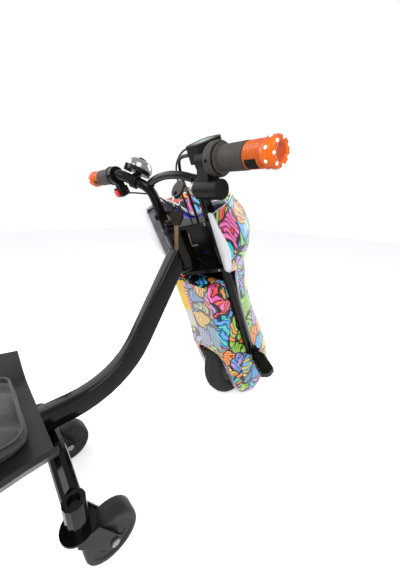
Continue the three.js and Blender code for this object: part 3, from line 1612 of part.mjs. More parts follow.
// Bar ends: a grooved sleeve round the bar and a lamp head that closes it
function barEndSleeve(side) {
  const bore = barRadius + seatGap;
  const start = gripEnd + seatGap;
  const pitch = (barrelEnd - start) / (barrelGrooves + 1);
  const grooveHalf = half(half(pitch));
  const profile = [[bore, start], [barrelRadius, start]];
  for (let groove = 1; groove <= barrelGrooves; groove += 1) {
    const middle = start + pitch * groove;
    profile.push([barrelRadius, middle - grooveHalf], [barrelRadius - barrelGrooveDepth, middle],
      [barrelRadius, middle + grooveHalf]);
  }
  profile.push([barrelRadius, barrelEnd], [bore, barrelEnd], [bore, start]);
  const rearward = side;
  const faceUp = -half(barrelPatchWide);
  const patch = block(
    [half(start + barrelEnd) - half(barrelPatchLong), barrelRadius - barrelPatchDepth, faceUp - half(barrelPatchWide)],
    [half(start + barrelEnd) + half(barrelPatchLong), barrelRadius + overrun, faceUp + half(barrelPatchWide)],
  ).scale(1, rearward, 1);
  return inHandFrame(side, cut(revolveX(profile, smallSides + half(smallSides)), facingOut(patch)));
}

function barEndLamp(side) {
  const start = barrelEnd + seatGap;
  const deep = headEnd - start;
  const flareShare = 0.3;
  const rimShare = 0.75;
  return inHandFrame(side, revolveX([
    [0, start],
    [barrelRadius, start],
    [headRadius, start + deep * flareShare],
    [headRadius, start + deep * rimShare],
    [headRadius - headDish, headEnd],
    [headFaceRadius, headEnd],
    [headFaceRadius - headDish, headEnd - headDish],
    [0, headEnd - headDish],
  ]));
}

for (const [word, side] of sides) {
  addPiece(fork, `bar_end_sleeve_${word}`, 'orange', barEndSleeve(side));
  addPiece(fork, `bar_end_lamp_${word}`, 'orange', barEndLamp(side));
}

// Bell on the rising part of the left bar: X along the bar, Z out through the bell
const bellPlace = barTop(left).lerp(barKnee(left), bellShare);
const bellMatrix = (() => {
  const along = barKnee(left).sub(barTop(left)).normalize();
  const upright = vector(0, 0, 1).addScaledVector(along, -along.z).normalize();
  const out = upright.applyAxisAngle(along, radians(bellRoll));
  const across = out.clone().cross(along);
  return new THREE.Matrix4().makeBasis(along, across, out).setPosition(bellPlace);
})();

function bellBase() {
  const band = sleeveX(barRadius + seatGap, barRadius + seatGap + bellBandWall, -half(bellBandWide), half(bellBandWide));
  const postRadius = half(bellBandWide);
  const post = rod(postRadius, barRadius + half(bellBandWall), bellLift - half(bellBaseDepth), smallSides);
  const plate = rod(bellBaseRadius, bellLift - bellBaseDepth, bellLift);
  const stud = rod(bellBandWall, bellLift - half(bellBaseDepth), bellLift + bellDomeHeight - bellDomeWall - 2 * seatGap,
    smallSides);
  return join(band, post, plate, stud).applyMatrix4(bellMatrix);
}

function bellDome() {
  const rimLow = -half(bellDomeWall);
  const domeShares = [[1, 0.2], [0.93, 0.5], [0.78, 0.76], [0.5, 0.92], [0, 1]];
  const inner = domeShares.map(([r, h]) => [
    (bellDomeRadius - bellDomeWall) * r,
    (bellDomeHeight - bellDomeWall) * h,
  ]).reverse();
  const outer = domeShares.map(([r, h]) => [bellDomeRadius * r, bellDomeHeight * h]);
  return revolve([
    ...inner,
    [bellDomeRadius - bellDomeWall, rimLow],
    [bellDomeRadius, rimLow],
    ...outer,
  ]).translate(0, 0, bellLift).applyMatrix4(bellMatrix);
}

const bellPivotOut = bellBaseRadius - bellBandWall; // where the lever turns
const bellLeverTop = bellLift - bellBaseDepth - seatGap;

function bellLever() {
  const padInner = bellDomeRadius + bellDomeWall + seatGap;
  const arm = block(
    [bellPivotOut - bellLeverThick, -half(bellLeverWide), bellLeverTop - bellLeverThick],
    [padInner + bellLeverThick, half(bellLeverWide), bellLeverTop],
  );
  const thumb = block(
    [padInner, -half(bellLeverWide), bellLeverTop - bellLeverThick],
    [padInner + bellLeverThick, half(bellLeverWide), bellLeverTop + bellLeverLong - bellLeverThick],
  );
  return join(arm, thumb).applyMatrix4(bellMatrix);
}

addPiece(fork, 'bell_base', 'satinBlack', bellBase());
addPiece(fork, 'bell_dome', 'chrome', bellDome());
addPiece(fork, 'bell_lever', 'satinBlack', bellLever());

// Horn switch hanging from a collar on the left bar, with its button facing the rider
const neckHalf = half(switchBoxWide) - hornInset;
const hornTall = switchBoxTall - 2 * hornInset;
const switchBoxOuter = switchBoxInner + switchBoxLong;
const hornOuter = switchBoxOuter - hornInset;
const hornInner = hornOuter - hornLong;

function hornSwitch() {
  const collar = rodX(switchCollarRadius, switchCollarStart, switchCollarEnd);
  const box = block(
    [switchBoxInner, -half(switchBoxWide), -switchBoxDrop - half(switchBoxTall)],
    [switchBoxOuter, half(switchBoxWide), -switchBoxDrop + half(switchBoxTall)],
  );
  const neck = block(
    [switchCollarStart, -neckHalf, -switchBoxDrop],
    [switchCollarEnd, neckHalf, -barRadius - hornInset],
  );
  const room = block(
    [hornInner, half(switchBoxWide) - hornInset - hornTravel - seatGap, -switchBoxDrop - half(hornTall)],
    [hornOuter, half(switchBoxWide) + overrun, -switchBoxDrop + half(hornTall)],
  );
  return cut(inHandFrame(left, cut(join(collar, box, neck), room)), barWithGap(left));
}

function hornButton() {
  const face = half(switchBoxWide) - hornInset;
  return inHandFrame(left, block(
    [hornInner + runningGap, face, -switchBoxDrop - half(hornTall) + runningGap],
    [hornOuter - runningGap, face + hornDeep, -switchBoxDrop + half(hornTall) - runningGap],
  ));
}

addPiece(fork, 'horn_switch', 'satinBlack', hornSwitch());
addPiece(fork, 'horn_button', 'red', hornButton());

// Cables: fixed runs from the bar's fittings over the crossbar and down to the battery pack,
// each through points whose heights start at the upper plate's base
function cable(radius, start, route, steps) {
  const points = route.map(([x, y, up]) => vector(x, y, upperPlateBase + up));
  const end = points[points.length - 1].clone().setZ(packTop + seatGap);
  const overEnd = end.clone().setZ(end.z + cableStraight);
  const inward = vector(-Math.sign(start.x) * cableStraight, 0, 0);
  const run = new THREE.CatmullRomCurve3([
    start, start.clone().add(inward), ...points.slice(0, -1), overEnd, end,
  ], false, 'centripetal');
  return facingOut(new THREE.ExtrudeGeometry(outline(circle(radius, cableSides)),
    { steps, extrudePath: run, bevelEnabled: false }));
}

const cableDrop = packNear + cableRadius + half(cableRadius); // the cables' place behind the deck's rim

addPiece(fork, 'throttle_cable', 'satinBlack', cable(
  cableRadius,
  handPoint(right, podInner - cableClear, half(podEdge), podTop - podEdge),
  [[-88, 14, 124], [-68, 6, 122], [-46, -2, 118], [-28, -12, 108], [-15, -19, 90], [-10, -23, 62],
    [-10, -cableDrop, 34], [-10, -cableDrop, 6], [-10, -cableDrop, -packTopDrop]],
  26,
));
addPiece(fork, 'display_cable', 'satinBlack', cable(
  leadRadius,
  handPoint(right, podInner - cableClear, podFront - podEdge, podTop - podEdge),
  [[-88, 0, 131], [-68, -8, 130], [-46, -14, 126], [-24, -19, 117], [-4, -22, 101], [8, -24, 76],
    [12, -cableDrop, 46], [12, -cableDrop, 12], [12, -cableDrop, -packTopDrop]],
  26,
));
addPiece(fork, 'horn_cable', 'satinBlack', cable(
  leadRadius,
  handPoint(left, switchBoxInner - cableClear, 0, -switchBoxDrop),
  [[132, 28, 74.6], [114, 22, 70.6], [102, 8, 62.6], [98, -8, 52.6], [86, -20, 38.6], [62, -24, 18.6],
    [42, -cableDrop, 4.6], [38, -cableDrop, -packTopDrop]],
  22,
));

// The whole stands on the floor, with the middle of its footprint at the origin
tricycle.updateMatrixWorld(true);
const bounds = new THREE.Box3().setFromObject(tricycle, true);
const middle = bounds.getCenter(vector(0, 0, 0));
tricycle.position.set(-middle.x, -middle.y, -bounds.min.z);

export default tricycle;
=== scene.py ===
"""Looks for a child's electric drift tricycle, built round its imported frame.

Metres, +Z up. The tricycle faces -Y and +X is the rider's left. Shapes that follow the
steered fork are worked out in the fork's own axes, with the front axle as origin: X left,
Y back, Z up along the legs. Lengths repeat the sizes of the solids.
"""

import json
import math

import bmesh
import bpy
import numpy as np
from mathutils import Matrix, Vector

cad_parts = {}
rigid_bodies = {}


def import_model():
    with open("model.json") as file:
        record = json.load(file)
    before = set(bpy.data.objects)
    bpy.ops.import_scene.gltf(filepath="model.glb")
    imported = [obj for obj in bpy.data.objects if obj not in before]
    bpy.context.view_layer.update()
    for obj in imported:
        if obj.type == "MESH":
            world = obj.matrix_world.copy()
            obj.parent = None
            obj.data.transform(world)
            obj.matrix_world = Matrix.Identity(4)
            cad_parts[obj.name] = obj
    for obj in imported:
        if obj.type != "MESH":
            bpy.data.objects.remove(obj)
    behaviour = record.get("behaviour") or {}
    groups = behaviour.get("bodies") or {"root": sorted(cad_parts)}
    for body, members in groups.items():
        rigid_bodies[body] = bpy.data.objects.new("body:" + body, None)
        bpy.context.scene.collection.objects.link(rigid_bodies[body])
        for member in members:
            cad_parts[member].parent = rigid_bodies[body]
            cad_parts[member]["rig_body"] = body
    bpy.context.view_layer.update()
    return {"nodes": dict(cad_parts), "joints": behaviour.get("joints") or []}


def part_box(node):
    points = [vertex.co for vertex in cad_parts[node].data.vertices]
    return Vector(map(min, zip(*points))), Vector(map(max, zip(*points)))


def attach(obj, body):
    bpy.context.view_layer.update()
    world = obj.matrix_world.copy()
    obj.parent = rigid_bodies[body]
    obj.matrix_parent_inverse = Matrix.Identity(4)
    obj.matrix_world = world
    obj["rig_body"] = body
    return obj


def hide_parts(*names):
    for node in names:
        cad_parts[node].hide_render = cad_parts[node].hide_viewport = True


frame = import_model()
nodes = frame["nodes"]
joints = {joint["name"]: joint for joint in frame["joints"]}

# Fork axes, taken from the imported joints
axle = np.array(joints["front_wheel_spin"]["pos_m"], float)
fork_up = np.array(joints["steering"]["axis"], float)
fork_up /= np.linalg.norm(fork_up)
leftward = np.array([1.0, 0.0, 0.0])
fork_back = np.cross(fork_up, leftward)
fork_axes = np.stack([leftward, fork_back, fork_up])
rake = math.atan2(fork_up[1], fork_up[2])
sides = {"left": 1, "right": -1}

# Sizes shared with the solids
gap = 0.0003
bar_radius = 0.011
bore = bar_radius + gap
leg_spread, leg_foot, leg_top = 0.080, 0.0986, 0.559
knee_out, knee_back, knee_up = 0.138, 0.024, 0.6013
grip_sweep = math.radians(5)
bar_bend, knee_bend = 0.040, 0.030
crossbar_radius, crossbar_height, crossbar_rise = 0.0076, 0.564, 0.017
grip_start, grip_end, grip_radius, flange_radius = 0.029, 0.0775, 0.017, 0.020
sleeve_end, sleeve_radius = 0.103, 0.0164
lamp_end, lamp_radius, lamp_face = 0.123, 0.018, 0.0105
plate_low, plate_high = 0.4874, 0.4960
leg_boss, stem_boss, stem_back = 0.018, 0.025, 0.035
pack_top = 0.462


def on_fork(points):
    """Points given in the fork's axes, as they stand in the row frame."""
    return axle + np.asarray(points, float) @ fork_axes


def off_fork(points):
    """Row-frame points turned back into the fork's axes."""
    return (np.asarray(points, float) - axle) @ fork_axes.T


def hand_axes(side):
    """Rows: out along the grip, across it, and up the fork."""
    turn = grip_sweep if side > 0 else math.pi - grip_sweep
    out = np.array([math.cos(turn), math.sin(turn), 0.0])
    return np.stack([out, np.array([-out[1], out[0], 0.0]), np.array([0.0, 0.0, 1.0])])


def knee(side):
    return np.array([side * knee_out, knee_back, knee_up])


def on_hand(side, points):
    """Points given from the bar's knee, X out along the grip, as they stand in the row frame."""
    return on_fork(knee(side) + np.asarray(points, float) @ hand_axes(side))


def off_hand(side, points):
    """Row-frame points turned back into the grip's axes."""
    return (off_fork(points) - knee(side)) @ hand_axes(side).T


# ---- Surfaces -------------------------------------------------------------------------

def xyz(x, y, z):
    """Points from three coordinates, each of them a number or an array."""
    return np.stack(np.broadcast_arrays(x, y, z), -1)


def full_turn(count):
    return np.linspace(0, 2 * np.pi, count, endpoint=False)


def places(mesh):
    return np.array([tuple(v.co) for v in mesh.vertices])


def grid_faces(rows, columns, close_rows=False, close_columns=True):
    """Quads between neighbouring points of a rows by columns grid; a closed way wraps round."""
    r = np.arange(rows if close_rows else rows - 1)
    c = np.arange(columns if close_columns else columns - 1)
    r, c = np.meshgrid(r, c, indexing="ij")
    r2, c2 = (r + 1) % rows, (c + 1) % columns
    quads = [r * columns + c, r * columns + c2, r2 * columns + c2, r2 * columns + c]
    return np.stack(quads, -1).reshape(-1, 4)


def merged(mesh):
    """A working copy of a mesh with its doubles merged."""
    work = bmesh.new()
    work.from_mesh(mesh)
    bmesh.ops.remove_doubles(work, verts=work.verts, dist=2e-6)
    return work


def build(name, points, faces, material, replaces=None, body="fork", slot=None, smooth=38):
    """One piece from points and faces, with its faces turned outward."""
    mesh = bpy.data.meshes.new(name)
    points = np.asarray(points, float).reshape(-1, 3)
    mesh.from_pydata(points.tolist(), [], [list(map(int, f)) for f in faces])
    work = merged(mesh)
    bmesh.ops.recalc_face_normals(work, faces=work.faces)
    work.to_mesh(mesh)
    work.free()
    return finished(name, mesh, material, replaces, body, smooth)


def finished(name, mesh, material, replaces, body, smooth):
    """The mesh as a piece on its body: smooth, but sharp at edges past the given degrees."""
    mesh.polygons.foreach_set("use_smooth", np.ones(len(mesh.polygons), bool))
    mesh.set_sharp_from_angle(angle=math.radians(smooth))
    mesh.materials.append(material)
    piece = bpy.data.objects.new(name, mesh)
    bpy.context.scene.collection.objects.link(piece)
    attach(piece, body)
    if replaces:
        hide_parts(replaces)
    return piece


def skin(name, grid, material, replaces=None, close=(False, True), caps=True, **settings):
    """A piece from a grid of points; open ends of a tube are closed by flat faces."""
    rows, columns = grid.shape[:2]
    faces = grid_faces(rows, columns, *close).tolist()
    if caps and not close[0] and close[1]:
        faces.append(list(range(columns))[::-1])
        faces.append(list(range((rows - 1) * columns, rows * columns)))
    return build(name, grid, faces, material, replaces, **settings)


def rounded(corners, radius, steps=3):
    """A profile whose inner corners become short quadratic bends of about that radius."""
    corners = np.asarray(corners, float)
    out = [corners[:1]]
    t = np.linspace(0, 1, steps + 1)[:, None]
    for before, here, after in zip(corners[:-2], corners[1:-1], corners[2:]):
        back, on = before - here, after - here
        a = here + back * min(0.45, radius / max(np.linalg.norm(back), 1e-9))
        b = here + on * min(0.45, radius / max(np.linalg.norm(on), 1e-9))
        out.append((1 - t) ** 2 * a + 2 * t * (1 - t) * here + t ** 2 * b)
    out.append(corners[-1:])
    return np.concatenate(out)


def turned(profile, count):
    """A body of revolution about X: profile rows are (radius, place along X)."""
    profile = np.asarray(profile, float)
    angle = full_turn(count)
    radius, along = profile[:, :1], profile[:, 1:2]
    return xyz(along, radius * np.cos(angle), radius * np.sin(angle))


def bent_path(corners, radii, steps=10):
    """Stations along straight runs joined by arcs of the given radii."""
    corners = np.asarray(corners, float)
    out = [corners[:1]]
    for i, radius in enumerate(radii, start=1):
        before = corners[i] - corners[i - 1]
        after = corners[i + 1] - corners[i]
        before, after = before / np.linalg.norm(before), after / np.linalg.norm(after)
        turn = math.acos(np.clip(before @ after, -1, 1))
        inward = after - before * math.cos(turn)
        inward /= np.linalg.norm(inward)
        start = corners[i] - before * radius * math.tan(turn / 2)
        angle = np.linspace(0, turn, steps)[:, None]
        out.append(start + before * radius * np.sin(angle) + inward * radius * (1 - np.cos(angle)))
    out.append(corners[-1:])
    return np.concatenate(out)


def spline(points, count):
    """A centripetal curve through the points, sampled at count places."""
    points = np.asarray(points, float)
    ends = np.concatenate([2 * points[:1] - points[1:2], points, 2 * points[-1:] - points[-2:-1]])
    spans = np.linalg.norm(np.diff(ends, axis=0), axis=1) ** 0.5
    knots = np.concatenate([[0], np.cumsum(spans)])
    t = np.linspace(knots[1], knots[-2], count)
    i = np.clip(np.searchsorted(knots, t, side="right") - 1, 1, len(ends) - 3)
    k = [knots[i + n][:, None] for n in (-1, 0, 1, 2)]
    level = [ends[i + n] for n in (-1, 0, 1, 2)]
    t = t[:, None]
    for wide in (1, 2):
        level = [(k[n + wide] - t) / (k[n + wide] - k[n]) * level[n]
                 + (t - k[n]) / (k[n + wide] - k[n]) * level[n + 1] for n in range(4 - wide)]
    return (k[2] - t) / (k[2] - k[1]) * level[0] + (t - k[1]) / (k[2] - k[1]) * level[1]


def carried(section, path, side_hint):
    """A section carried along a path: its first axis leans to the hint, its second is tangent x first."""
    path = np.asarray(path, float)
    tangent = np.gradient(path, axis=0)
    tangent /= np.linalg.norm(tangent, axis=1, keepdims=True)
    hint = np.asarray(side_hint, float)
    first = hint - tangent * (tangent @ hint)[:, None]
    first /= np.linalg.norm(first, axis=1, keepdims=True)
    second = np.cross(tangent, first)
    section = np.asarray(section, float)
    return path[:, None] + section[None, :, :1] * first[:, None] + section[None, :, 1:] * second[:, None]


def circle(radius, count):
    angle = full_turn(count)
    return np.stack([radius * np.cos(angle), radius * np.sin(angle)], -1)


def rounded_rectangle(width, height, corner, steps):
    """Corner arcs at the four corners, joined by straight edges."""
    quarter = np.linspace(0, np.pi / 2, steps + 1)
    angle = (np.arange(4)[:, None] * np.pi / 2 + quarter).ravel()
    sx = np.repeat([1, -1, -1, 1], steps + 1)
    sy = np.repeat([1, 1, -1, -1], steps + 1)
    return np.stack([sx * (width / 2 - corner) + corner * np.cos(angle),
                     sy * (height / 2 - corner) + corner * np.sin(angle)], -1)


def round_edges(piece, width, segments=2, degrees=30):
    """A live bevel on the piece's hard edges."""
    bevel = piece.modifiers.new("rounded_edges", "BEVEL")
    bevel.width = width
    bevel.segments = segments
    bevel.limit_method = "ANGLE"
    bevel.angle_limit = math.radians(degrees)
    bevel.harden_normals = True


def dressed(node, material, bevel=0.0008, segments=2, degrees=28, smooth=38):
    """A copy of a solid with its triangles rejoined into faces and its hard edges rounded."""
    source = nodes[node]
    work = merged(source.data)
    bmesh.ops.dissolve_limit(work, angle_limit=math.radians(0.6), verts=work.verts, edges=work.edges)
    mesh = bpy.data.meshes.new(node + "_dressed")
    faces = [[v.index for v in f.verts] for f in work.faces]
    mesh.from_pydata([tuple(v.co) for v in work.verts], [], faces)
    work.free()
    piece = finished(node + "_dressed", mesh, material, node, source["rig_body"], smooth)
    if bevel:
        round_edges(piece, bevel, segments, degrees)
    return piece


def repaint(piece, material, chosen):
    """The chosen faces take a second material; they are picked by centre and normal."""
    faces = piece.data.polygons
    centres = np.array([tuple(face.center) for face in faces])
    normals = np.array([tuple(face.normal) for face in faces])
    piece.data.materials.append(material)
    faces.foreach_set("material_index", chosen(centres, normals).astype(np.int32))


# ---- Finishes -------------------------------------------------------------------------

class Finish:
    """One procedural material: a Principled shader with calls that add and link its nodes."""

    def __init__(self, name, base, roughness, metallic=0.0, specular=0.5, **sockets):
        self.material = bpy.data.materials.new(name)
        self.material.use_nodes = True
        self.tree = self.material.node_tree
        self.shader = self.tree.nodes["Principled BSDF"]
        sockets.update(Base_Color=(*base, 1), Roughness=roughness, Metallic=metallic, Specular_IOR_Level=specular)
        for socket, value in sockets.items():
            self.shader.inputs[socket.replace("_", " ")].default_value = value
        self.place = self.tree.nodes.new("ShaderNodeTexCoord").outputs["Object"]

    def add(self, kind, inputs, output=0, **settings):
        node = self.tree.nodes.new("ShaderNode" + kind)
        for key, value in settings.items():
            setattr(node, key, value)
        for key, value in inputs.items():
            self.feed(node.inputs[key], value)
        return node.outputs[output]

    def feed(self, socket, value):
        if isinstance(value, bpy.types.NodeSocket):
            self.tree.links.new(value, socket)
        else:
            socket.default_value = value

    def noise(self, scale, detail=2.0, roughness=0.5, place=None, output="Fac"):
        inputs = {"Vector": self.place if place is None else place, "Scale": scale, "Detail": detail}
        return self.add("TexNoise", {**inputs, "Roughness": roughness}, output)

    def ramp(self, value, stops):
        """Flat bands of colour, each from its own stop on."""
        node = self.tree.nodes.new("ShaderNodeValToRGB")
        node.color_ramp.interpolation = "CONSTANT"
        elements = node.color_ramp.elements
        while len(elements) < len(stops):
            elements.new(0.5)
        for element, (position, colour) in zip(elements, stops):
            element.position = position
            element.color = (*colour, 1)
        self.feed(node.inputs["Fac"], value)
        return node.outputs["Color"]

    def mix(self, share, a, b):
        node = self.tree.nodes.new("ShaderNodeMix")
        node.data_type = "RGBA"
        for index, value in ((0, share), (6, a), (7, b)):
            self.feed(node.inputs[index], (*value, 1) if isinstance(value, tuple) else value)
        return node.outputs[2]

    def math(self, operation, a, b=0.0, clamp=False):
        return self.add("Math", {0: a, 1: b}, operation=operation, use_clamp=clamp)

    def times(self, a, b):
        return self.math("MULTIPLY", a, b)

    def over(self, a, b):
        return self.math("GREATER_THAN", a, b)

    def under(self, a, b):
        return self.math("LESS_THAN", a, b)

    def vector(self, operation, a, b, output=0):
        return self.add("VectorMath", {0: a, 1: b}, output, operation=operation)

    def step(self, value, low, high, to_low=0.0, to_high=1.0):
        """Linear map of a value from one range to another, held at its ends."""
        return self.add("MapRange", {"Value": value, "From Min": low, "From Max": high,
                                     "To Min": to_low, "To Max": to_high})

    def colour(self, socket):
        self.feed(self.shader.inputs["Base Color"], socket)

    def rough(self, value, low, high):
        self.feed(self.shader.inputs["Roughness"], self.step(value, 0.3, 0.7, low, high))

    def bump(self, height, strength, distance):
        bump = self.add("Bump", {"Height": height, "Strength": strength, "Distance": distance})
        self.feed(self.shader.inputs["Normal"], bump)

    def mapped(self, place, **inputs):
        return self.add("Mapping", {"Vector": place, **inputs})

    def fork_place(self):
        """Object coordinates turned into the fork's axes."""
        return self.mapped(self.place, Rotation=(rake, 0, 0))


def mottled(name, base, second, roughness, patches=30.0, grain=900.0, depth=0.0001, strength=0.25,
            **settings):
    """A colour that drifts between two shades, with a fine grain in its surface."""
    look = Finish(name, base, roughness, **settings)
    drift = look.noise(patches, 4.0, 0.6)
    look.colour(look.mix(look.step(drift, 0.35, 0.65), base, second))
    look.rough(drift, roughness * 0.82, min(1.0, roughness * 1.2))
    look.bump(look.noise(grain), strength, depth)
    return look.material


def brushed(name, base, second, roughness, stretch):
    """Metal with fine lines drawn out along the axes whose stretch is small."""
    look = Finish(name, base, roughness, 1.0)
    lines = look.noise(1.0, 3.0, 0.6, look.mapped(look.place, Scale=stretch))
    look.colour(look.mix(look.step(lines, 0.3, 0.7), base, second))
    look.rough(lines, roughness * 0.8, roughness * 1.35)
    look.bump(lines, 0.12, 0.00006)
    return look.material


print_colours = [
    (0.03, 0.30, 0.78), (0.78, 0.10, 0.38), (0.28, 0.62, 0.04), (0.86, 0.05, 0.03), (0.02, 0.46, 0.80),
    (0.42, 0.24, 0.72), (0.92, 0.26, 0.01), (0.02, 0.48, 0.52), (0.93, 0.58, 0.02),
]
warm_stops = [(0.0, (0.93, 0.50, 0.02)), (0.45, (0.90, 0.20, 0.01)), (0.8, (0.85, 0.04, 0.03))]
print_black, print_shine, print_haze = (0.006, 0.006, 0.010), (0.90, 0.86, 0.80), (0.62, 0.62, 0.66)
label_left, label_foot, label_middle = 0.026, 0.143, 0.203
label_pale, label_yellow = (0.60, 0.57, 0.52), (0.80, 0.50, 0.03)


def bands(colours):
    """Ramp stops that give each colour an equal share."""
    return [(i / len(colours), colour) for i, colour in enumerate(colours)]


def printed(name, haze=0.0, warm=0.0, patches=17.0, label=False):
    """Glossy moulding with a made-up all-over print: patches of brush strokes, each patch with its own
    two colours and its own direction, black between the strokes and round the patches, and a few
    bubbles with black rims. A label is two plain blocks down the left margin, yellow over pale."""
    look = Finish(name, (0.5, 0.5, 0.5), 0.3, specular=0.3, Coat_Weight=0.12, Coat_Roughness=0.12)
    half = (0.5, 0.5, 0.5)
    place = look.fork_place()
    wobble = look.vector("SUBTRACT", look.noise(16.0, place=place, output="Color"), half)
    wobble = look.add("VectorMath", {0: wobble, "Scale": 0.075}, operation="SCALE")
    bent = look.vector("ADD", place, wobble)
    cells = {"Vector": bent, "Scale": patches, "Randomness": 1.0}
    tones = look.add("TexVoronoi", cells, "Color")
    one, two, three = (look.add("SeparateColor", {0: tones}, i) for i in range(3))
    edge = look.add("TexVoronoi", cells, "Distance", feature="DISTANCE_TO_EDGE")
    way = look.add("VectorMath", {0: look.vector("SUBTRACT", tones, half)}, operation="NORMALIZE")
    strokes = look.times(look.vector("DOT_PRODUCT", bent, way, "Value"), 100.0)
    share = look.math("FRACT", strokes)
    odd = look.over(look.math("FRACT", look.times(strokes, 0.5)), 0.5)
    main = look.mix(warm, look.ramp(one, bands(print_colours)), look.ramp(three, warm_stops))
    other = look.ramp(two, bands(print_colours[4:] + print_colours[:4]))
    body = look.mix(look.times(odd, look.over(three, 0.35)), main, other)
    shine = look.step(look.math("ABSOLUTE", look.math("SUBTRACT", share, 0.62)), 0.0, 0.22, 0.26, 0.0)
    body = look.mix(shine, body, print_shine)
    bubble = look.add("TexVoronoi", {**cells, "Scale": patches * 2.6, "Randomness": 0.8}, "Distance")
    chosen = look.over(look.noise(34.0, 0.0, place=place), 0.56)
    inside = look.times(look.under(bubble, 0.36), chosen)
    rim = look.times(inside, look.over(bubble, 0.25))
    black = look.math("MAXIMUM", look.under(share, 0.21), look.under(edge, 0.045))
    for cover, colour in ((black, print_black), (inside, other), (rim, print_black), (haze, print_haze)):
        body = look.mix(cover, body, colour)
    if label:
        left, height = (look.add("SeparateXYZ", {0: place}, i) for i in (0, 2))
        block = look.times(look.over(left, label_left), look.over(height, label_foot))
        body = look.mix(block, body, look.mix(look.over(height, label_middle), label_pale, label_yellow))
    look.colour(body)
    look.bump(look.noise(500.0), 0.05, 0.0001)
    return look.material


# Two shades, roughness, noise scale of the patches and of the grain, depth and strength of the grain
gloss_black = mottled("gloss_black_paint", (0.0035, 0.003, 0.003), (0.006, 0.005, 0.004), 0.10, 18.0, 240.0,
                      0.00012, 0.08, specular=0.15)
satin_black = mottled("satin_black_plastic", (0.006, 0.0055, 0.005), (0.011, 0.010, 0.009), 0.3, 25.0, 1800.0,
                      0.00015, 0.3, specular=0.07)
key_plastic = mottled("key_plastic", (0.012, 0.009, 0.007), (0.020, 0.015, 0.012), 0.4, 60.0,
                      depth=0.0002, strength=0.3, specular=0.12)
motor_black = mottled("motor_paint", (0.02, 0.02, 0.022), (0.035, 0.034, 0.034), 0.38, 20.0, metallic=0.2)
grip_rubber = mottled("grip_rubber", (0.026, 0.021, 0.018), (0.038, 0.031, 0.026), 0.66, 60.0, 1500.0,
                      0.0002, 0.5)
tyre_rubber = mottled("tyre_rubber", (0.020, 0.020, 0.021), (0.034, 0.033, 0.032), 0.78, 24.0, 700.0,
                      0.0003, 0.5, specular=0.2)
caster_black = mottled("caster_tread", (0.012, 0.012, 0.013), (0.030, 0.029, 0.028), 0.5, 60.0, 500.0,
                       0.0002, 0.4, specular=0.2)
chrome = mottled("chrome", (0.46, 0.45, 0.44), (0.38, 0.37, 0.37), 0.09, 40.0, 300.0, 0.00005, 0.06,
                 metallic=1.0)
dark_chrome = mottled("dark_chrome", (0.24, 0.235, 0.23), (0.34, 0.33, 0.32), 0.11, 30.0, 120.0, 0.0006, 0.2,
                      metallic=1.0)
# Painted light: a beige for the L of light that shows through a gap by the tray.
tab_beige = mottled("tab_beige", (0.34, 0.29, 0.23), (0.42, 0.36, 0.29), 0.5, 90.0, 700.0, strength=0.2)
red_plastic = mottled("red_plastic", (0.62, 0.012, 0.010), (0.72, 0.03, 0.02), 0.3, 60.0, strength=0.15)
cable_black = mottled("cable_jacket", (0.008, 0.008, 0.009), (0.016, 0.015, 0.015), 0.45, 80.0, 1500.0,
                      strength=0.3, specular=0.12)
white_edge = mottled("white_moulding", (0.78, 0.78, 0.84), (0.88, 0.88, 0.90), 0.3, 16.0, 700.0,
                     strength=0.12)
display_green = mottled("display_window", (0.004, 0.14, 0.07), (0.006, 0.30, 0.15), 0.12, 50.0, 400.0,
                        0.00005, 0.05, specular=0.2, Emission_Color=(0.05, 0.8, 0.4, 1), Emission_Strength=0.25)
display_glass = mottled("display_glass", (0.004, 0.006, 0.005), (0.008, 0.012, 0.010), 0.1, 50.0, 400.0,
                        0.00005, 0.05, specular=0.12)
seat_black = mottled("seat_moulding", (0.010, 0.010, 0.011), (0.017, 0.017, 0.018), 0.4, 20.0, 1300.0,
                     0.0003, 0.45, specular=0.2)
lamp_white = mottled("lamp_cell", (0.90, 0.90, 0.86), (0.97, 0.97, 0.95), 0.25, 200.0, strength=0.1,
                     Emission_Color=(1.0, 0.95, 0.88, 1), Emission_Strength=0.35)
zinc = brushed("zinc_steel", (0.20, 0.20, 0.21), (0.32, 0.32, 0.33), 0.34, (700.0, 700.0, 90.0))
yellow_zinc = brushed("yellow_zinc", (0.50, 0.36, 0.12), (0.66, 0.52, 0.24), 0.34, (700.0, 700.0, 90.0))
brass = brushed("key_brass", (0.22, 0.14, 0.075), (0.34, 0.23, 0.13), 0.34, (500.0, 60.0, 500.0))
lock_steel = brushed("lock_steel", (0.16, 0.135, 0.115), (0.40, 0.35, 0.31), 0.24, (900.0, 60.0, 60.0))
print_bright = printed("bright_print")
print_hazy = printed("hazy_print", 0.2, 0.35, 19.0, True)


def orange_finish(name, middle, edge, painted_glow):
    """Translucent plastic with painted shade: the middle colour where it faces the eye, the darker edge colour
    towards its edges; a faint painted glow, and faint mould swirls.
    """
    # The emission is a painted glow in the plastic itself.
    look = Finish(name, middle, 0.2, specular=0.22, Subsurface_Weight=0.1, Subsurface_Scale=0.003,
                  Subsurface_Radius=(1.0, 0.35, 0.05), Emission_Color=(1.0, 0.25, 0.01, 1),
                  Emission_Strength=painted_glow)
    facing = look.add("LayerWeight", {"Blend": 0.5}, 1)
    swirl = look.times(look.step(look.noise(70.0, 3.0, 0.6), 0.3, 0.7), 0.35)
    # Painted shade: the colour turns from the middle colour to the darker edge colour where the surface turns
    # away from the eye.
    look.colour(look.mix(look.math("ADD", look.step(facing, 0.25, 0.8), swirl, True), middle, edge))
    look.bump(look.noise(160.0), 0.25, 0.0004)
    return look.material


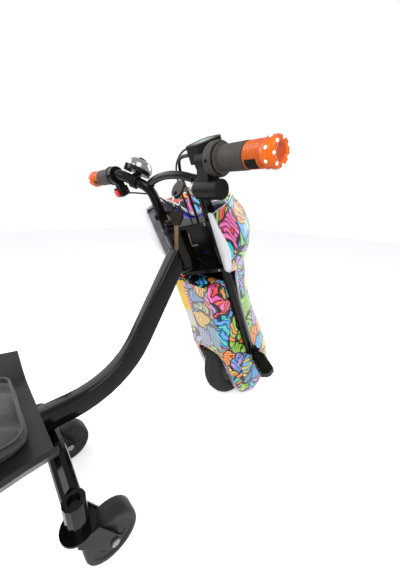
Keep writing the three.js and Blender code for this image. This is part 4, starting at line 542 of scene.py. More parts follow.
def wrap_finish():
    """Shrunk film: deep blue with creases that run mostly across the pack, painted darker in their hollows and
    lighter on their ridges.
    """
    look = Finish("battery_wrap", (0.012, 0.018, 0.42), 0.2, Coat_Weight=0.7, Coat_Roughness=0.06)
    crease_height_and_shade = look.noise(1.0, 5.0, 0.62, look.mapped(look.fork_place(), Scale=(26.0, 26.0, 90.0)))
    # Painted shade and sheen: the blue darkens where the crease bump is low and lightens where it is high.
    look.colour(look.mix(look.step(crease_height_and_shade, 0.3, 0.7), (0.008, 0.012, 0.34), (0.02, 0.035, 0.62)))
    look.bump(crease_height_and_shade, 0.4, 0.0012)
    return look.material


def lens_finish():
    """Clear plastic with upright flutes."""
    look = Finish("lamp_lens", (0.93, 0.95, 0.97), 0.06, Transmission_Weight=1.0, IOR=1.45)
    flutes = look.add("TexWave", {"Vector": look.place, "Scale": 60.0}, bands_direction="X")
    look.colour(look.mix(look.noise(40.0), (0.92, 0.94, 0.96), (0.97, 0.98, 0.99)))
    look.bump(flutes, 0.25, 0.0006)
    return look.material


def vinyl_finish():
    """Upholstery vinyl: a small pebbled grain from cell borders over a soft drift of shade."""
    look = Finish("seat_vinyl", (0.016, 0.016, 0.018), 0.5, Sheen_Weight=0.15)
    cells = {"Vector": look.place, "Scale": 620.0}
    pebble = look.add("TexVoronoi", cells, "Distance", feature="DISTANCE_TO_EDGE")
    drift = look.noise(22.0, 4.0)
    look.colour(look.mix(look.step(drift, 0.35, 0.65), (0.013, 0.013, 0.015), (0.028, 0.027, 0.028)))
    look.rough(drift, 0.42, 0.6)
    look.bump(look.step(pebble, 0.0, 0.18), 0.45, 0.0004)
    return look.material


# Each takes a middle colour, a darker edge colour for its painted shade, and the strength of its painted glow.
orange_head = orange_finish("orange_head", (0.86, 0.150, 0.003), (0.42, 0.040, 0.001), 0.06)
orange_deep = orange_finish("orange_face", (0.55, 0.065, 0.001), (0.38, 0.035, 0.001), 0.04)
orange_sleeve = orange_finish("orange_sleeve", (0.62, 0.120, 0.012), (0.42, 0.060, 0.006), 0.02)
battery_wrap = wrap_finish()
lamp_lens = lens_finish()
vinyl = vinyl_finish()


# ---- Camera, light and floor ----------------------------------------------------------

def set_up_camera():
    """The photograph's view: a wide lens behind, above and to the right of the handlebar."""
    position = np.array([-0.4143, axle[1] + 0.5701, 0.5845])
    ahead = np.array([0.6812, -0.6655, -0.3048])
    ahead /= np.linalg.norm(ahead)
    level = np.array([-0.6988, -0.7153, 0.0])
    level /= np.linalg.norm(level)
    down = np.cross(ahead, level)
    roll = math.radians(-1.515)
    image_right = level * math.cos(roll) + down * math.sin(roll)
    image_down = down * math.cos(roll) - level * math.sin(roll)
    data = bpy.data.cameras.new("camera")
    data.lens = 15.30
    data.sensor_width = 36.0
    data.sensor_fit = "AUTO"
    data.clip_start = 0.01
    camera = bpy.data.objects.new("camera", data)
    turn = np.eye(4)
    turn[:3] = np.stack([image_right, -image_down, -ahead, position], 1)
    camera.matrix_world = Matrix(turn.tolist())
    bpy.context.scene.collection.objects.link(camera)
    bpy.context.scene.camera = camera


def background_share(tree):
    """1 where a camera, glossy or transmitted ray looks, 0 for the light that falls on the object."""
    rays = tree.nodes.new("ShaderNodeLightPath").outputs
    share = rays["Is Camera Ray"]
    for kind in ("Is Transmission Ray", "Is Glossy Ray"):
        either = tree.nodes.new("ShaderNodeMath")
        either.operation = "MAXIMUM"
        tree.links.new(share, either.inputs[0])
        tree.links.new(rays[kind], either.inputs[1])
        share = either.outputs[0]
    return share


def set_up_light():
    """A white surround that the camera sees, a weaker one that lights, and four soft lamps."""
    world = bpy.data.worlds.new("studio")
    bpy.context.scene.world = world
    world.use_nodes = True
    tree = world.node_tree
    shown = tree.nodes["Background"]
    soft = tree.nodes.new("ShaderNodeBackground")
    for node, colour, strength in ((shown, (1, 1, 1, 1), 1.0), (soft, (0.92, 0.94, 1.0, 1), 0.55)):
        node.inputs["Color"].default_value = colour
        node.inputs["Strength"].default_value = strength
    choice = tree.nodes.new("ShaderNodeMixShader")
    for number, socket in enumerate((background_share(tree), soft.outputs[0], shown.outputs[0])):
        tree.links.new(socket, choice.inputs[number])
    tree.links.new(choice.outputs[0], tree.nodes["World Output"].inputs["Surface"])
    target = Vector((0, float(axle[1]) + 0.2, 0.45))
    for name, place, size, power, colour in (
            ("key", (-1.3, 0.9, 1.9), 1.2, 34, (1.0, 0.98, 0.95)),
            ("fill", (1.6, 0.6, 1.3), 1.4, 18, (0.95, 0.97, 1.0)),
            ("front", (-0.4, -2.0, 1.2), 1.2, 14, (1.0, 1.0, 1.0)),
            ("back", (0.3, 1.9, 1.5), 1.0, 12, (1.0, 0.97, 0.92))):
        data = bpy.data.lights.new(name, "AREA")
        data.size = size
        data.energy = power
        data.color = colour
        lamp = bpy.data.objects.new(name, data)
        lamp.location = place
        lamp.rotation_euler = (target - Vector(place)).to_track_quat("-Z", "Y").to_euler()
        bpy.context.scene.collection.objects.link(lamp)


def set_up_floor():
    """A pale floor that glows a little where it is looked at."""
    half = 6.0
    corners = [(-half, -half, 0), (half, -half, 0), (half, half, 0), (-half, half, 0)]
    mesh = bpy.data.meshes.new("floor")
    mesh.from_pydata(corners, [], [(0, 1, 2, 3)])
    floor = bpy.data.objects.new("floor", mesh)
    look = Finish("pale_floor", (0.86, 0.86, 0.86), 0.9, Emission_Color=(1, 1, 1, 1))
    look.feed(look.shader.inputs["Emission Strength"], look.times(background_share(look.tree), 0.46))
    mesh.materials.append(look.material)
    bpy.context.scene.collection.objects.link(floor)


# ---- Bars ------------------------------------------------------------------------------

def fork_bars():
    """Each side is one bent tube: leg, rise and grip. A bowed crossbar joins them, with a weld at each end."""
    for word, side in sides.items():
        leg = [(side * leg_spread, 0, height) for height in (leg_foot, leg_top)]
        tip = knee(side) + hand_axes(side)[0] * (sleeve_end - 2 * gap)
        run = bent_path([*leg, knee(side), tip], [bar_bend, knee_bend])
        grid = on_fork(carried(circle(bar_radius, 40), run, (0.0, 1.0, 0.0)))
        skin("bar_tube_" + word, grid, gloss_black, "handlebar_" + word)
    half_span = leg_spread - bar_radius * 0.8
    x = np.linspace(-half_span, half_span, 41)
    bow = crossbar_height + crossbar_rise * (1 - (x / (leg_spread + bar_radius / 2)) ** 2)
    tube = carried(circle(crossbar_radius, 32), xyz(x, 0, bow), (0.0, 1.0, 0.0))
    skin("cross_tube", on_fork(tube), gloss_black, "crossbar")
    for word, side in sides.items():
        spot = np.array([side * (leg_spread - bar_radius * 0.94), 0, crossbar_height + 0.0042])
        angle = full_turn(60)
        radius = (crossbar_radius + 0.0004) * (1 + 0.05 * np.sin(angle * 15))
        ring = xyz(0, radius * np.cos(angle), radius * np.sin(angle)) + spot
        bead = carried(circle(0.0015, 10), np.concatenate([ring, ring[:1]]), (1.0, 0.0, 0.0))
        skin("bar_weld_" + word, on_fork(bead), gloss_black)


# ---- Grips and bar ends ------------------------------------------------------------------

def grips():
    """Ribbed sleeves: the radius falls in shallow grooves behind the inner flange."""
    for word, side in sides.items():
        node, body = ("throttle_grip", "throttle") if side < 0 else ("grip_left", "fork")
        along = np.linspace(grip_start + 0.005, grip_end - 0.0008, 150)
        wave = np.cos((along - grip_start) / (grip_end - grip_start) * 2 * np.pi * 6.5)
        radius = grip_radius - 0.0004 * np.clip(wave * 2.2, -1, 1) ** 2 * (wave < 0)
        flange = rounded([(bore, grip_start), (flange_radius, grip_start), (flange_radius, grip_start + 0.004),
                          (grip_radius, grip_start + 0.0042), (grip_radius, grip_start + 0.0048)], 0.0009)
        end = rounded([(grip_radius, grip_end - 0.0006), (grip_radius, grip_end), (bore, grip_end)], 0.0006)
        grid = turned(np.concatenate([flange, np.stack([radius, along], -1), end]), 96)
        out, across, up = np.moveaxis(grid, -1, 0)
        ridge = (np.sin(np.arctan2(up, across) * 36) > 0.2) & (out > grip_start + 0.006)
        pips = 0.00022 * (ridge & (np.hypot(across, up) > grip_radius - 0.0002))
        grid[..., 1:] *= (1 - pips / grip_radius)[..., None]
        skin("rubber_grip_" + word, on_hand(side, grid), grip_rubber, node, (True, True), body=body)


def bar_ends():
    """Orange sleeves with fine turned rings, a black patch of painted shade on each sleeve's lower back quarter,
    and a flared lamp head with its cells.
    """
    for word, side in sides.items():
        start = grip_end + gap
        ease = 0.0006
        along = np.linspace(start + ease, sleeve_end - ease, 110)
        ring = sleeve_radius - 0.0008 * (0.5 + 0.5 * np.cos((along - start) / 0.0022 * 2 * np.pi)) ** 2
        profile = np.concatenate([[(bore, start), (sleeve_radius - ease, start)], np.stack([ring, along], -1),
                                  [(sleeve_radius - ease, sleeve_end), (bore, sleeve_end)]])
        skin("orange_sleeve_" + word, on_hand(side, turned(profile, 72)), orange_sleeve,
             "bar_end_sleeve_" + word, (True, True))
        # Painted shade: a thin black patch laid over the lower back quarter of the sleeve, with no recess cut
        # into it.
        angle = -0.45 + np.linspace(-0.44, 0.44, 12)
        stations = np.linspace(start + 0.0035, sleeve_end - 0.0045, 8)
        a, s = np.meshgrid(angle, stations, indexing="ij")
        under, over = (xyz(s, side * radius * np.cos(a), radius * np.sin(a))
                       for radius in (sleeve_radius - 0.0012, sleeve_radius + 0.0003))
        patch = np.concatenate([under[:, :1], over, under[:, :0:-1]], 1)
        skin("sleeve_patch_" + word, on_hand(side, patch), satin_black)
        head = sleeve_end + gap
        deep = lamp_end - head
        recess = 0.0025
        profile = rounded([(0.0, head), (sleeve_radius, head), (lamp_radius, head + deep * 0.3),
                           (lamp_radius, head + deep * 0.75), (lamp_radius - recess, lamp_end),
                           (lamp_face, lamp_end), (lamp_face - recess, lamp_end - recess),
                           (0.0, lamp_end - recess)], 0.0012)
        piece = skin("lamp_head_" + word, on_hand(side, turned(profile, 72)), orange_head,
                     "bar_end_lamp_" + word, caps=False)

        def in_face(centres, normals):
            local = off_hand(side, centres)
            return (np.hypot(local[:, 1], local[:, 2]) < lamp_face - 0.0008) & (local[:, 0] > lamp_end - 0.004)

        repaint(piece, orange_deep, in_face)
        lamp_cells(word, side)


def lamp_cells(word, side):
    """Small domed cells set round the lamp's face and round its flared edge."""
    dome_radius = np.array([1.0, 1.0, 0.8, 0.45, 0.0])[:, None, None]
    dome_height = np.array([-0.6, 0.35, 0.75, 0.95, 1.0])[:, None, None]
    angle = full_turn(14)
    points, faces = [], []
    for count, ring, size, along, on_face in ((7, 0.0142, 0.0020, lamp_end, True),
                                              (8, lamp_radius, 0.0021, sleeve_end + 0.0108, False)):
        for spin in full_turn(count) + 0.2:
            out = np.array([0.0, math.cos(spin), math.sin(spin)])
            round_way = np.array([0.0, -math.sin(spin), math.cos(spin)])
            normal, other = (leftward, out) if on_face else (out, leftward)
            centre = np.array([along, 0, 0]) + out * ring
            disc = np.cos(angle)[None, :, None] * round_way + np.sin(angle)[None, :, None] * other
            grid = centre + size * (dome_radius * disc + 0.5 * dome_height * normal)
            first = sum(map(len, points))
            faces += (grid_faces(len(dome_radius), len(angle)) + first).tolist()
            faces.append((np.arange(len(angle))[::-1] + first).tolist())
            points.append(grid.reshape(-1, 3))
    build("lamp_cells_" + word, on_hand(side, np.concatenate(points)), faces, lamp_white)


# ---- Front shield ----------------------------------------------------------------------

shield_foot, shield_top = -0.093, 0.516
shield_half, shield_reach = 0.134, 0.131
shield_wall = 0.0035
shield_low_edge = 0.0243
shield_levels = np.array([
    # height share, half width, reach ahead, rear edge in metres ahead of the legs
    (0.0, 0.657, 0.9, shield_low_edge), (0.098, 0.672, 0.947, shield_low_edge),
    (0.153, 0.672, 1.0, shield_low_edge), (0.262, 0.672, 0.925, shield_low_edge),
    (0.30, 0.672, 0.9, 0.0113), (0.475, 0.657, 0.77, 0.0113), (0.609, 0.672, 0.77, 0.0113),
    (0.719, 0.735, 0.825, 0.0113), (0.764, 0.79, 0.87, 0.0113), (0.790, 0.855, 0.915, -0.023),
    (0.818, 0.93, 0.96, -0.023), (0.88, 1.0, 1.0, -0.023), (0.926, 0.948, 0.985, -0.023),
    (0.95, 0.9, 0.92, -0.023), (1.0, 0.86, 0.765, -0.023)])
arc_columns, straight_columns = 72, 7
shield_columns = arc_columns + 2 * straight_columns


def smooth_levels(height):
    """Half width, reach and rear edge at each height: the levels joined by a curve that eases through them."""
    share = (height - shield_foot) / (shield_top - shield_foot)
    known = shield_levels[:, 0]
    fine = np.linspace(0, 1, 400)
    kernel = np.hanning(19)
    eased = []
    for column in (1, 2):
        padded = np.pad(np.interp(fine, known, shield_levels[:, column]), 9, mode="edge")
        eased.append(np.interp(share, fine, np.convolve(padded, kernel / kernel.sum(), "valid")))
    return eased[0] * shield_half, eased[1] * shield_reach, np.interp(share, known, shield_levels[:, 3])


def shield_points(height, inset=0.0):
    """X and Y of each column at its height: half an ellipse round the front, straight back at both ends."""
    wide, deep, edge = smooth_levels(height)
    wide, deep, edge = wide - inset, deep - inset, edge + inset
    first = np.arcsin(np.clip(edge, 0, None) / deep)
    round_share = np.pad(np.linspace(0, 1, arc_columns), straight_columns, mode="edge")
    back = np.linspace(1, 0, straight_columns, endpoint=False)
    back = np.concatenate([back, np.zeros(arc_columns), back[::-1]])
    angle = first + (np.pi - 2 * first) * round_share
    x, y = wide * np.cos(angle), -deep * np.sin(angle)
    return x, y + (-edge - y) * back


def rear_faces(centres, normals):
    """The shield's faces that look back above its foot."""
    centres, normals = off_fork(centres), normals @ fork_axes.T
    return (np.abs(normals[:, 1]) > 0.8) & (centres[:, 1] > -0.026) & (centres[:, 2] > 0.1)


def front_shield():
    """The moulding: sections up the fork, its foot cut on a slope that rises towards the front, its
    rear edges rolled inward: a narrow lip below, wide wings above."""
    wing_foot, wing_rise, wing_inner = 0.378, 0.012, 0.102
    rise = np.linspace(0, 1, 110)[:, None]
    foot_ahead = -shield_points(np.full((1, shield_columns), shield_foot))[1]
    low = shield_foot + np.clip(foot_ahead - shield_low_edge, 0, None)
    height = low + (shield_top - low) * rise
    x, y = shield_points(height)
    outer = np.stack([x, y, height], -1)
    wing = np.clip((height[:, :1] - wing_foot) / wing_rise, 0, 1)
    lip = np.abs(x[:, :1]) - 0.008
    lip += (np.minimum(wing_inner, lip) - lip) * wing
    for way in (1, -1):
        edge = outer[:, :1] if way > 0 else outer[:, -1:]
        turned_in, shoulder = edge.copy(), edge.copy()
        turned_in[..., 0] = way * lip
        shoulder[..., 0] -= way * 0.0012
        shoulder[..., 1] += 0.0006
        strip = [turned_in, (turned_in + shoulder) / 2, shoulder]
        outer = np.concatenate(strip + [outer] if way > 0 else [outer] + strip[::-1], 1)
    piece = build("shield_moulding", on_fork(outer), grid_faces(*outer.shape[:2], False, False), print_bright,
                  "front_shield", smooth=50)
    repaint(piece, white_edge, rear_faces)
    wall = piece.modifiers.new("wall", "SOLIDIFY")
    wall.thickness = shield_wall
    wall.offset = -1
    wall.material_offset = 1
    wall.material_offset_rim = 1


def deck_height(x, ahead):
    """The deck dips behind, towards its middle."""
    fade = np.clip((shield_reach - ahead) / (shield_reach - 0.032), 0, 1)
    return shield_top - shield_wall - 0.030 * np.exp(-(x / 0.045) ** 2) * fade


def top_deck():
    """Rows run from the rear rim to the shield's inner wall; the height follows the dip. A pale rim
    edges it, and the pack's blue wrap stands up to it behind."""
    x, y = shield_points(np.full((1, shield_columns), 0.508), shield_wall * 0.6)
    across = np.linspace(0, 1, shield_columns)
    corner, corner_share = 0.1035, (0, 0.12, 0.88, 1)
    rim_x = np.interp(across, corner_share, [corner, corner, -corner, -corner])
    rim_y = np.interp(across, corner_share, [0.0215, -0.032, -0.032, 0.0215])
    t = np.linspace(0, 1, 34)[:, None]
    px, py = rim_x + (x[0] - rim_x) * t, rim_y + (y[0] - rim_y) * t
    top = np.stack([px, py, deck_height(px, -py)], -1)
    under = top[::-1] - np.array([0, 0, 0.003])
    skin("top_deck", on_fork(np.concatenate([top, under], 0)), print_bright, close=(True, False))
    rim_line = xyz(rim_x, rim_y + 0.0012, deck_height(rim_x, -rim_y) + 0.0015)[11:-11]
    section = rounded_rectangle(0.009, 0.0036, 0.0012, 3)
    skin("deck_rim", on_fork(carried(section, rim_line, (0.0, 0.35, 1.0))), white_edge)
    span = np.linspace(-0.066, 0.066, 60)[:, None]
    foot, ceiling = pack_top + 0.0005 + 0 * span, deck_height(span, 0.032) - 0.005
    up = np.concatenate([foot, ceiling, ceiling, foot], 1)
    shoulder = xyz(span, np.array([-0.0218, -0.0218, -0.0308, -0.0308]), up)
    skin("pack_shoulder", on_fork(shoulder), battery_wrap)


def battery_bay():
    """The tray with its top lowered, the panel before it, and a beige L-shaped strip hanging from it that paints
    the light showing through a gap.
    """
    panel = rounded_rectangle(0.0445, 0.0800, 0.002, 3)
    sheet = [xyz(panel[:, 0], -ahead, panel[:, 1] + 0.4357) for ahead in (0.0185, 0.0209)]
    skin("tray_panel", on_fork(np.stack(sheet)), satin_black, slot="tray_steel")
    tray = dressed("battery_tray", satin_black)
    points = off_fork(places(tray.data))
    points[:, 2] = np.minimum(points[:, 2], 0.4745)
    tray.data.vertices.foreach_set("co", on_fork(points).ravel())
    # Painted light: this L-shaped strip stands where light shows through a gap.
    gap_light_ahead = -0.0172
    corners = [(0.027, gap_light_ahead, 0.441), (0.033, gap_light_ahead, 0.404), (0.008, gap_light_ahead, 0.412)]
    gap_light_strip = carried(rounded_rectangle(0.0022, 0.0042, 0.0006, 2), bent_path(corners, [0.003], 4), (0.0, 1.0, 0.0))
    skin("tray_tab", on_fork(gap_light_strip), tab_beige)


# ---- Rear cover, upper yoke plate and wheel ------------------------------------------------

def rear_cover():
    """The solid's own panels, softened at the edges; the back panel's print is hazy."""
    piece = dressed("rear_cover", print_bright, 0.0028, 3, 20, 40)
    repaint(piece, print_hazy, lambda centres, normals: (normals @ fork_axes.T)[:, 1] > 0.8)


def upper_plate():
    """Bosses round both legs and the stem joined by tangent edges; the front edge hollowed between the legs."""
    hollow_half, hollow_depth = 0.064, 0.028
    tangent = math.atan2(stem_back, -leg_spread)
    tangent -= math.acos((leg_boss - stem_boss) / math.hypot(leg_spread, stem_back))
    parts = []
    for x, y, radius, first, last in ((leg_spread, 0, leg_boss, -math.pi / 2, tangent),
                                      (0, stem_back, stem_boss, tangent, math.pi - tangent),
                                      (-leg_spread, 0, leg_boss, math.pi - tangent, 1.5 * math.pi)):
        angle = np.linspace(first, last, 26)
        parts.append(np.stack([x + radius * np.cos(angle), y + radius * np.sin(angle)], -1))
    x = np.linspace(-hollow_half, hollow_half, 33)
    parts.append(np.stack([x, -leg_boss + hollow_depth * (1 - (x / hollow_half) ** 4)], -1))
    edge = np.concatenate(parts)
    layers = np.stack([xyz(edge[:, 0], edge[:, 1], height) for height in (plate_low, plate_high)])
    round_edges(skin("yoke_plate_top", on_fork(layers), gloss_black, "upper_yoke_plate"), 0.0012)


def front_wheel():
    """Tyre: a round carcass with four tread grooves and cross sipes; hub: the solid softened."""
    half_profile = [(0.080, 0.018), (0.086, 0.0205), (0.1036, 0.025), (0.117, 0.0215), (0.1215, 0.0135),
                    (0.123, 0.009)]
    corners = [(radius, -x) for radius, x in half_profile] + half_profile[::-1]
    grid = turned(rounded(corners, 0.006, 8), 240)
    angle = full_turn(240)
    radius = np.hypot(grid[..., 1], grid[..., 2])
    offset = grid[..., 0]
    tread = radius > 0.1145
    zigzag = 0.0022 * np.sign(np.sin(angle * 40))
    rings = sum(np.exp(-(((offset - groove - zigzag) / 0.0011) ** 2) ** 2)
                for groove in (-0.0125, -0.0045, 0.0045, 0.0125))
    sipes = (np.sin(angle * 60 + np.abs(offset) * 260) > 0.86) & (np.abs(offset) > 0.0135)
    depth = tread * np.maximum(0.0022 * rings, 0.0016 * sipes)
    grid[..., 1:] *= (1 - depth / radius)[..., None]
    skin("tyre_tread", axle + grid, tyre_rubber, "front_tyre", (True, True), body="front_wheel")
    dressed("hub_motor", motor_black, 0.0012, 3, 20)


# Pieces that keep their solid's shape, by finish and by the bevel in millimetres
softened = {
    gloss_black: {
        1.2: "lower_yoke_plate steering_stem",
        1.0: "main_tube seat_bracket",
        0.8: "head_tube axle_bracket_left axle_bracket_right caster_housing_left caster_housing_right",
        0.7: "footpeg_left footpeg_right caster_fork_left caster_fork_right",
        0.6: "lower_head_cup upper_head_cup rear_crossbeam"},
    satin_black: {
        1.4: "horn_switch", 1.2: "headlamp", 0.8: "tube_end_cap", 0.7: "bell_base bell_lever",
        0.6: "charge_cap", 0.5: "switch_bezel", 0.4: "charge_socket"},
    yellow_zinc: {0.8: "front_axle"},
    red_plastic: {1.2: "horn_button", 0.6: "power_rocker"},
    lamp_lens: {0: "headlamp_lens"},
    battery_wrap: {4: "battery_pack"},
    display_glass: {0.3: "display_window"},
    key_plastic: {0.7: "ignition_key"},
    caster_black: {1.2: "caster_wheel_left caster_wheel_right"},
    seat_black: {1.2: "seat_shell"},
    chrome: {0: "key_ring"},
    dark_chrome: {0.6: "bell_dome"},
}


def softened_solids():
    for material, groups in softened.items():
        for bevel, names in groups.items():
            for node in names.split():
                dressed(node, material, bevel / 1000)


# ---- Fasteners, rings and the right hand's fittings ------------------------------------------

def facing(axis):
    """Rows: two ways across an axis, and the axis itself."""
    axis = np.asarray(axis, float) / np.linalg.norm(axis)
    helper = np.array([0.0, 0.0, 1.0]) if abs(axis[2]) < 0.9 else leftward
    first = np.cross(helper, axis)
    first /= np.linalg.norm(first)
    return np.stack([first, np.cross(axis, first), axis])


def screws(name, spots, radius, height, material, hex_head=False, body="fork"):
    """Screw heads: each spot is a point and an outward axis; domed with a socket, or six-sided."""
    foot = [(0.0, -0.0004), (radius, -0.0004)]
    domed = [(radius, height * 0.6), (radius * 0.82, height), (radius * 0.45, height),
             (radius * 0.42, height * 0.35), (0.0, height * 0.35)]
    six_sided = [(radius, height * 0.8), (radius * 0.9, height), (0.0, height)]
    profile, count = (foot + six_sided, 6) if hex_head else (foot + domed, 40)
    head = turned(profile, count)[..., [1, 2, 0]]
    faces, points = [], []
    for number, (centre, axis) in enumerate(spots):
        faces += (grid_faces(len(profile), count) + number * len(profile) * count).tolist()
        points.append((np.asarray(centre, float) + head @ facing(axis)).reshape(-1, 3))
    build(name, np.concatenate(points), faces, material, body=body)


def fasteners():
    """Bolts and nuts where pieces are clamped together."""
    yoke = [(on_fork((side * leg_spread, leg_boss - 0.0002, height)), fork_back)
            for side in (1, -1) for height in (0.3833, 0.4917)]
    screws("yoke_bolts", yoke, 0.0036, 0.0030, zinc)
    screws("stem_nut", [(on_fork((0, stem_back, 0.5023)), fork_up)], 0.0105, 0.0045, gloss_black, True)
    for word in sides:
        wheel = np.array(joints["caster_spin_" + word]["pos_m"])
        pins = [(wheel + np.array([way * 0.0249, 0, 0]), (way, 0, 0)) for way in (1, -1)]
        screws("caster_pin_nuts_" + word, pins, 0.0074, 0.0038, zinc, True, "caster_" + word)
    clamp = [(on_hand(-1, (0.021, -0.0224, 0.006)), -hand_axes(-1)[1] @ fork_axes),
             (on_hand(1, (0.020, 0.0181, 0.006)), hand_axes(1)[1] @ fork_axes)]
    screws("clamp_screws", clamp, 0.0024, 0.0020, satin_black)


def throttle_rings():
    """Stepped rings between the housing's collar and the grip's flange."""
    profile = [(0.0222, 0.0136), (0.0232, 0.0140), (0.0232, 0.0166), (0.0224, 0.0171), (0.0224, 0.0178),
               (0.0234, 0.0183), (0.0234, 0.0212), (0.0226, 0.0217), (0.0226, 0.0224), (0.0236, 0.0229),
               (0.0236, 0.0262), (0.0228, 0.0280), (0.0215, 0.0283), (0.0200, 0.0278)]
    skin("collar_rings", on_hand(-1, turned(profile, 96)), grip_rubber, close=(True, True),
         slot="black_plastic")


def key_lock():
    """The housing with its lock cylinder, and a stack of turned steel rings where the key goes in."""
    lock_back, lock_drop, lock_radius, inner, outer = 0.0187, 0.035, 0.0145, -0.028, 0.042
    inner_cut, outer_cut = 0.011, 0.008
    piece = dressed("throttle_housing", satin_black, 0.0014)
    local = off_hand(-1, places(piece.data))
    in_lock = np.hypot(local[:, 1] + lock_back, local[:, 2] + lock_drop) < lock_radius + 0.0005
    local[in_lock & (local[:, 0] < inner + 0.003), 0] += inner_cut
    local[in_lock & (local[:, 0] > outer - 0.003), 0] -= outer_cut
    piece.data.vertices.foreach_set("co", on_hand(-1, local).ravel())
    rings = [(0.0046, -0.0165), (0.0125, -0.0165), (0.0125, -0.0190), (0.0112, -0.0196), (0.0112, -0.0212),
             (0.0122, -0.0218), (0.0122, -0.0242), (0.0104, -0.0250), (0.0104, -0.0268), (0.0113, -0.0274),
             (0.0113, -0.0290), (0.0098, -0.0302), (0.0072, -0.0302), (0.0072, -0.0285), (0.0046, -0.0285)]
    grid = turned(rings, 64) - np.array([0, lock_back, lock_drop])
    skin("lock_rings", on_hand(-1, grid), lock_steel, "lock_barrel", (True, True))


def display_screen():
    """A lit patch behind the display's dark glass, and a thin dark frame round the glass."""
    centre = np.array([-0.012, 0.010])
    lit = rounded_rectangle(0.013, 0.009, 0.001, 3) + centre + np.array([0.002, -0.004])
    rows = [xyz(lit[:, 0], lit[:, 1], up) for up in (0.0249, 0.0253)]
    skin("display_patch", on_hand(-1, np.stack(rows)), display_green)
    outer = rounded_rectangle(0.0325, 0.0365, 0.003, 4) + centre
    inner = rounded_rectangle(0.0300, 0.0340, 0.002, 4) + centre
    low, high = 0.0248, 0.0254
    rows = [xyz(ring[:, 0], ring[:, 1], up)
            for ring, up in ((outer, low), (outer, high), (inner, high), (inner, low))]
    skin("display_frame", on_hand(-1, np.stack(rows)), motor_black, close=(True, True), slot="black_plastic")


# ---- Keys, bell and cables ----------------------------------------------------------------

def spare_key():
    """A black moulded head on a brass blade."""
    piece = dressed("spare_key", key_plastic, 0.0006)
    head_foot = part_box("spare_key")[1][2] - 0.0335
    repaint(piece, brass, lambda centres, normals: centres[:, 2] < head_foot)


def bell_mark():
    """A dark oval badge without lettering, let into the top of the bell's dome."""
    foot, head = np.array([leg_spread, 0, leg_top]), knee(1)
    along = (head - foot) / np.linalg.norm(head - foot)
    upright = np.array([0, 0, 1.0]) - along * along[2]
    upright /= np.linalg.norm(upright)
    lean = math.radians(38)
    out = upright * math.cos(lean) + np.cross(along, upright) * math.sin(lean)
    axes = np.stack([along, np.cross(out, along), out])
    angle = full_turn(48)
    size = np.array([1.0, 1.0, 0.93, 0.6, 0.0])[:, None]
    up = np.array([0.0465, 0.0482, 0.0487, 0.0485, 0.0483])[:, None]
    local = xyz(0.0085 * size * np.cos(angle), 0.0125 * size * np.sin(angle), up)
    skin("bell_mark", on_fork((foot + head) / 2 + local @ axes), satin_black, caps=False)


cable_drop = -0.02595
# Node, radius, side, start on the bar, X over the pack, and the route above the yoke plate, where a
# Y of None is that of the drop
cable_runs = (
    ("throttle_cable", 0.0029, -1, (-0.0349, 0.006, 0.013), -0.010,
     [(-0.088, 0.014, 0.124), (-0.068, 0.006, 0.122), (-0.046, -0.002, 0.118), (-0.028, -0.012, 0.108),
      (-0.015, -0.019, 0.090), (-0.010, -0.023, 0.062), (-0.010, None, 0.034), (-0.010, None, 0.006)]),
    ("display_cable", 0.0017, -1, (-0.0349, 0.022, 0.013), 0.012,
     [(-0.088, 0.0, 0.131), (-0.068, -0.008, 0.130), (-0.046, -0.014, 0.126), (-0.024, -0.019, 0.117),
      (-0.004, -0.022, 0.101), (0.008, -0.024, 0.076), (0.012, None, 0.046), (0.012, None, 0.012)]),
    ("horn_cable", 0.0017, 1, (0.0091, 0.0, -0.036), 0.038,
     [(0.132, 0.028, 0.0746), (0.114, 0.022, 0.0706), (0.102, 0.008, 0.0626), (0.098, -0.008, 0.0526),
      (0.086, -0.020, 0.0386), (0.062, -0.024, 0.0186), (0.042, None, 0.0046)]),
)


def cables():
    """Each cable follows its solid's route on a smooth curve, from its box down into the pack."""
    for node, radius, side, start, last_x, route in cable_runs:
        begin = knee(side) + np.array(start) @ hand_axes(side)
        inward = begin + np.array([-0.009 * np.sign(begin[0]), 0, 0])
        middle = [(x, cable_drop if y is None else y, plate_low + up) for x, y, up in route]
        ends = [(last_x, cable_drop, pack_top + 0.0093), (last_x, cable_drop, pack_top + 0.0003)]
        path = spline([begin, inward, *middle, *ends], 160)
        piece = skin(node + "_jacket", on_fork(carried(circle(radius, 20), path, (0.3, 1.0, 0.25))), cable_black,
                     node, smooth=60)


# ---- Seat pads ------------------------------------------------------------------------------

def thin_way(spread):
    """The way in which centred points spread least, turned to the pad's front."""
    thin = np.linalg.eigh(spread.T @ spread)[1][:, 0]
    return thin * np.sign(thin @ (0, -0.5, 0.8))


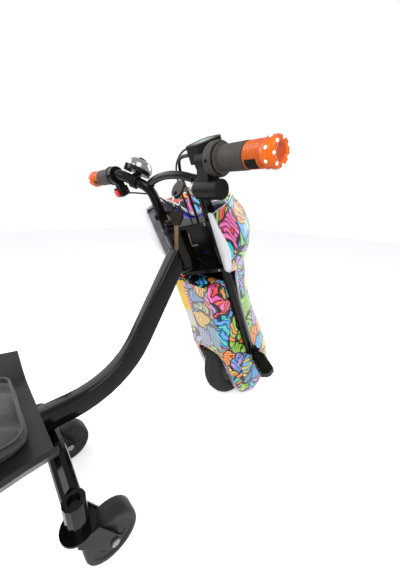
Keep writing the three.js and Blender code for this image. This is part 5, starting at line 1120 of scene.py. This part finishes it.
def soft_pad(node, cap, inset):
    """The solid's form, shrunk a little, remeshed and blown up as cloth: its front swells, up to the cap,
    and its back stays on the shell."""
    low, high = (np.array(c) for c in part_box(node))
    middle = (low + high) / 2
    work = merged(nodes[node].data)
    mesh = bpy.data.meshes.new(node + "_cloth")
    work.to_mesh(mesh)
    work.free()
    points = middle + (places(mesh) - middle) * (1 - inset / (high - low))
    mesh.vertices.foreach_set("co", points.ravel())
    piece = finished(node + "_cover", mesh, vinyl, node, nodes[node]["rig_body"], 60)
    piece.data.remesh_voxel_size = 0.0045
    bpy.context.view_layer.objects.active = piece
    piece.select_set(True)
    bpy.ops.object.voxel_remesh()
    before = places(piece.data)
    cloth = piece.modifiers.new("fill", "CLOTH")
    cloth.settings.use_pressure = True
    cloth.settings.uniform_pressure_force = 4.0
    cloth.settings.effector_weights.gravity = 0.0
    cloth.settings.tension_stiffness = 18.0
    for number in range(1, 21):
        bpy.context.scene.frame_set(number)
    after = places(piece.evaluated_get(bpy.context.evaluated_depsgraph_get()).to_mesh())
    bpy.context.scene.frame_set(1)
    piece.modifiers.remove(cloth)
    move = after - before
    far = np.linalg.norm(move, axis=1, keepdims=True)
    spread = before - before.mean(0)
    depth = spread @ thin_way(spread)
    front = np.clip((depth - depth.min()) / np.ptp(depth) * 1.6 - 0.5, 0, 1)[:, None]
    swollen = before + front * move * np.minimum(1, cap / np.maximum(far, 1e-9))
    piece.data.vertices.foreach_set("co", swollen.ravel())
    piece.data.polygons.foreach_set("use_smooth", np.ones(len(piece.data.polygons), bool))
    piece.select_set(False)
    rounding = piece.modifiers.new("round", "SUBSURF")
    rounding.levels = rounding.render_levels = 1
    return piece


def piping(node, width, length, lift):
    """A sewn cord in a flat loop before the pad's front."""
    points = places(nodes[node].data)
    centre = (points.min(0) + points.max(0)) / 2
    thin = thin_way(points - centre)
    axes = np.stack([leftward, np.cross(thin, leftward), thin])
    loop = rounded_rectangle(width, length, 0.022, 6)
    loop = np.concatenate([loop, loop[:1]])
    path = centre + xyz(loop[:, 0], loop[:, 1], lift) @ axes
    skin(node + "_piping", carried(circle(0.0021, 12), path, thin), vinyl, body=nodes[node]["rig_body"])


def seat_pads():
    for node in ("seat_pad", "back_pad"):
        pad = soft_pad(node, 0.006, 0.006)
    piping("seat_pad", 0.166, 0.140, 0.0125)
    piping("back_pad", 0.164, 0.130, 0.0125)


for make in (set_up_camera, set_up_light, set_up_floor, fork_bars, grips, bar_ends, front_shield, top_deck,
             battery_bay, rear_cover, upper_plate, front_wheel, softened_solids, fasteners, throttle_rings,
             key_lock, display_screen, spare_key, bell_mark, cables, seat_pads):
    make()

bpy.context.scene.view_settings.view_transform = "Standard"
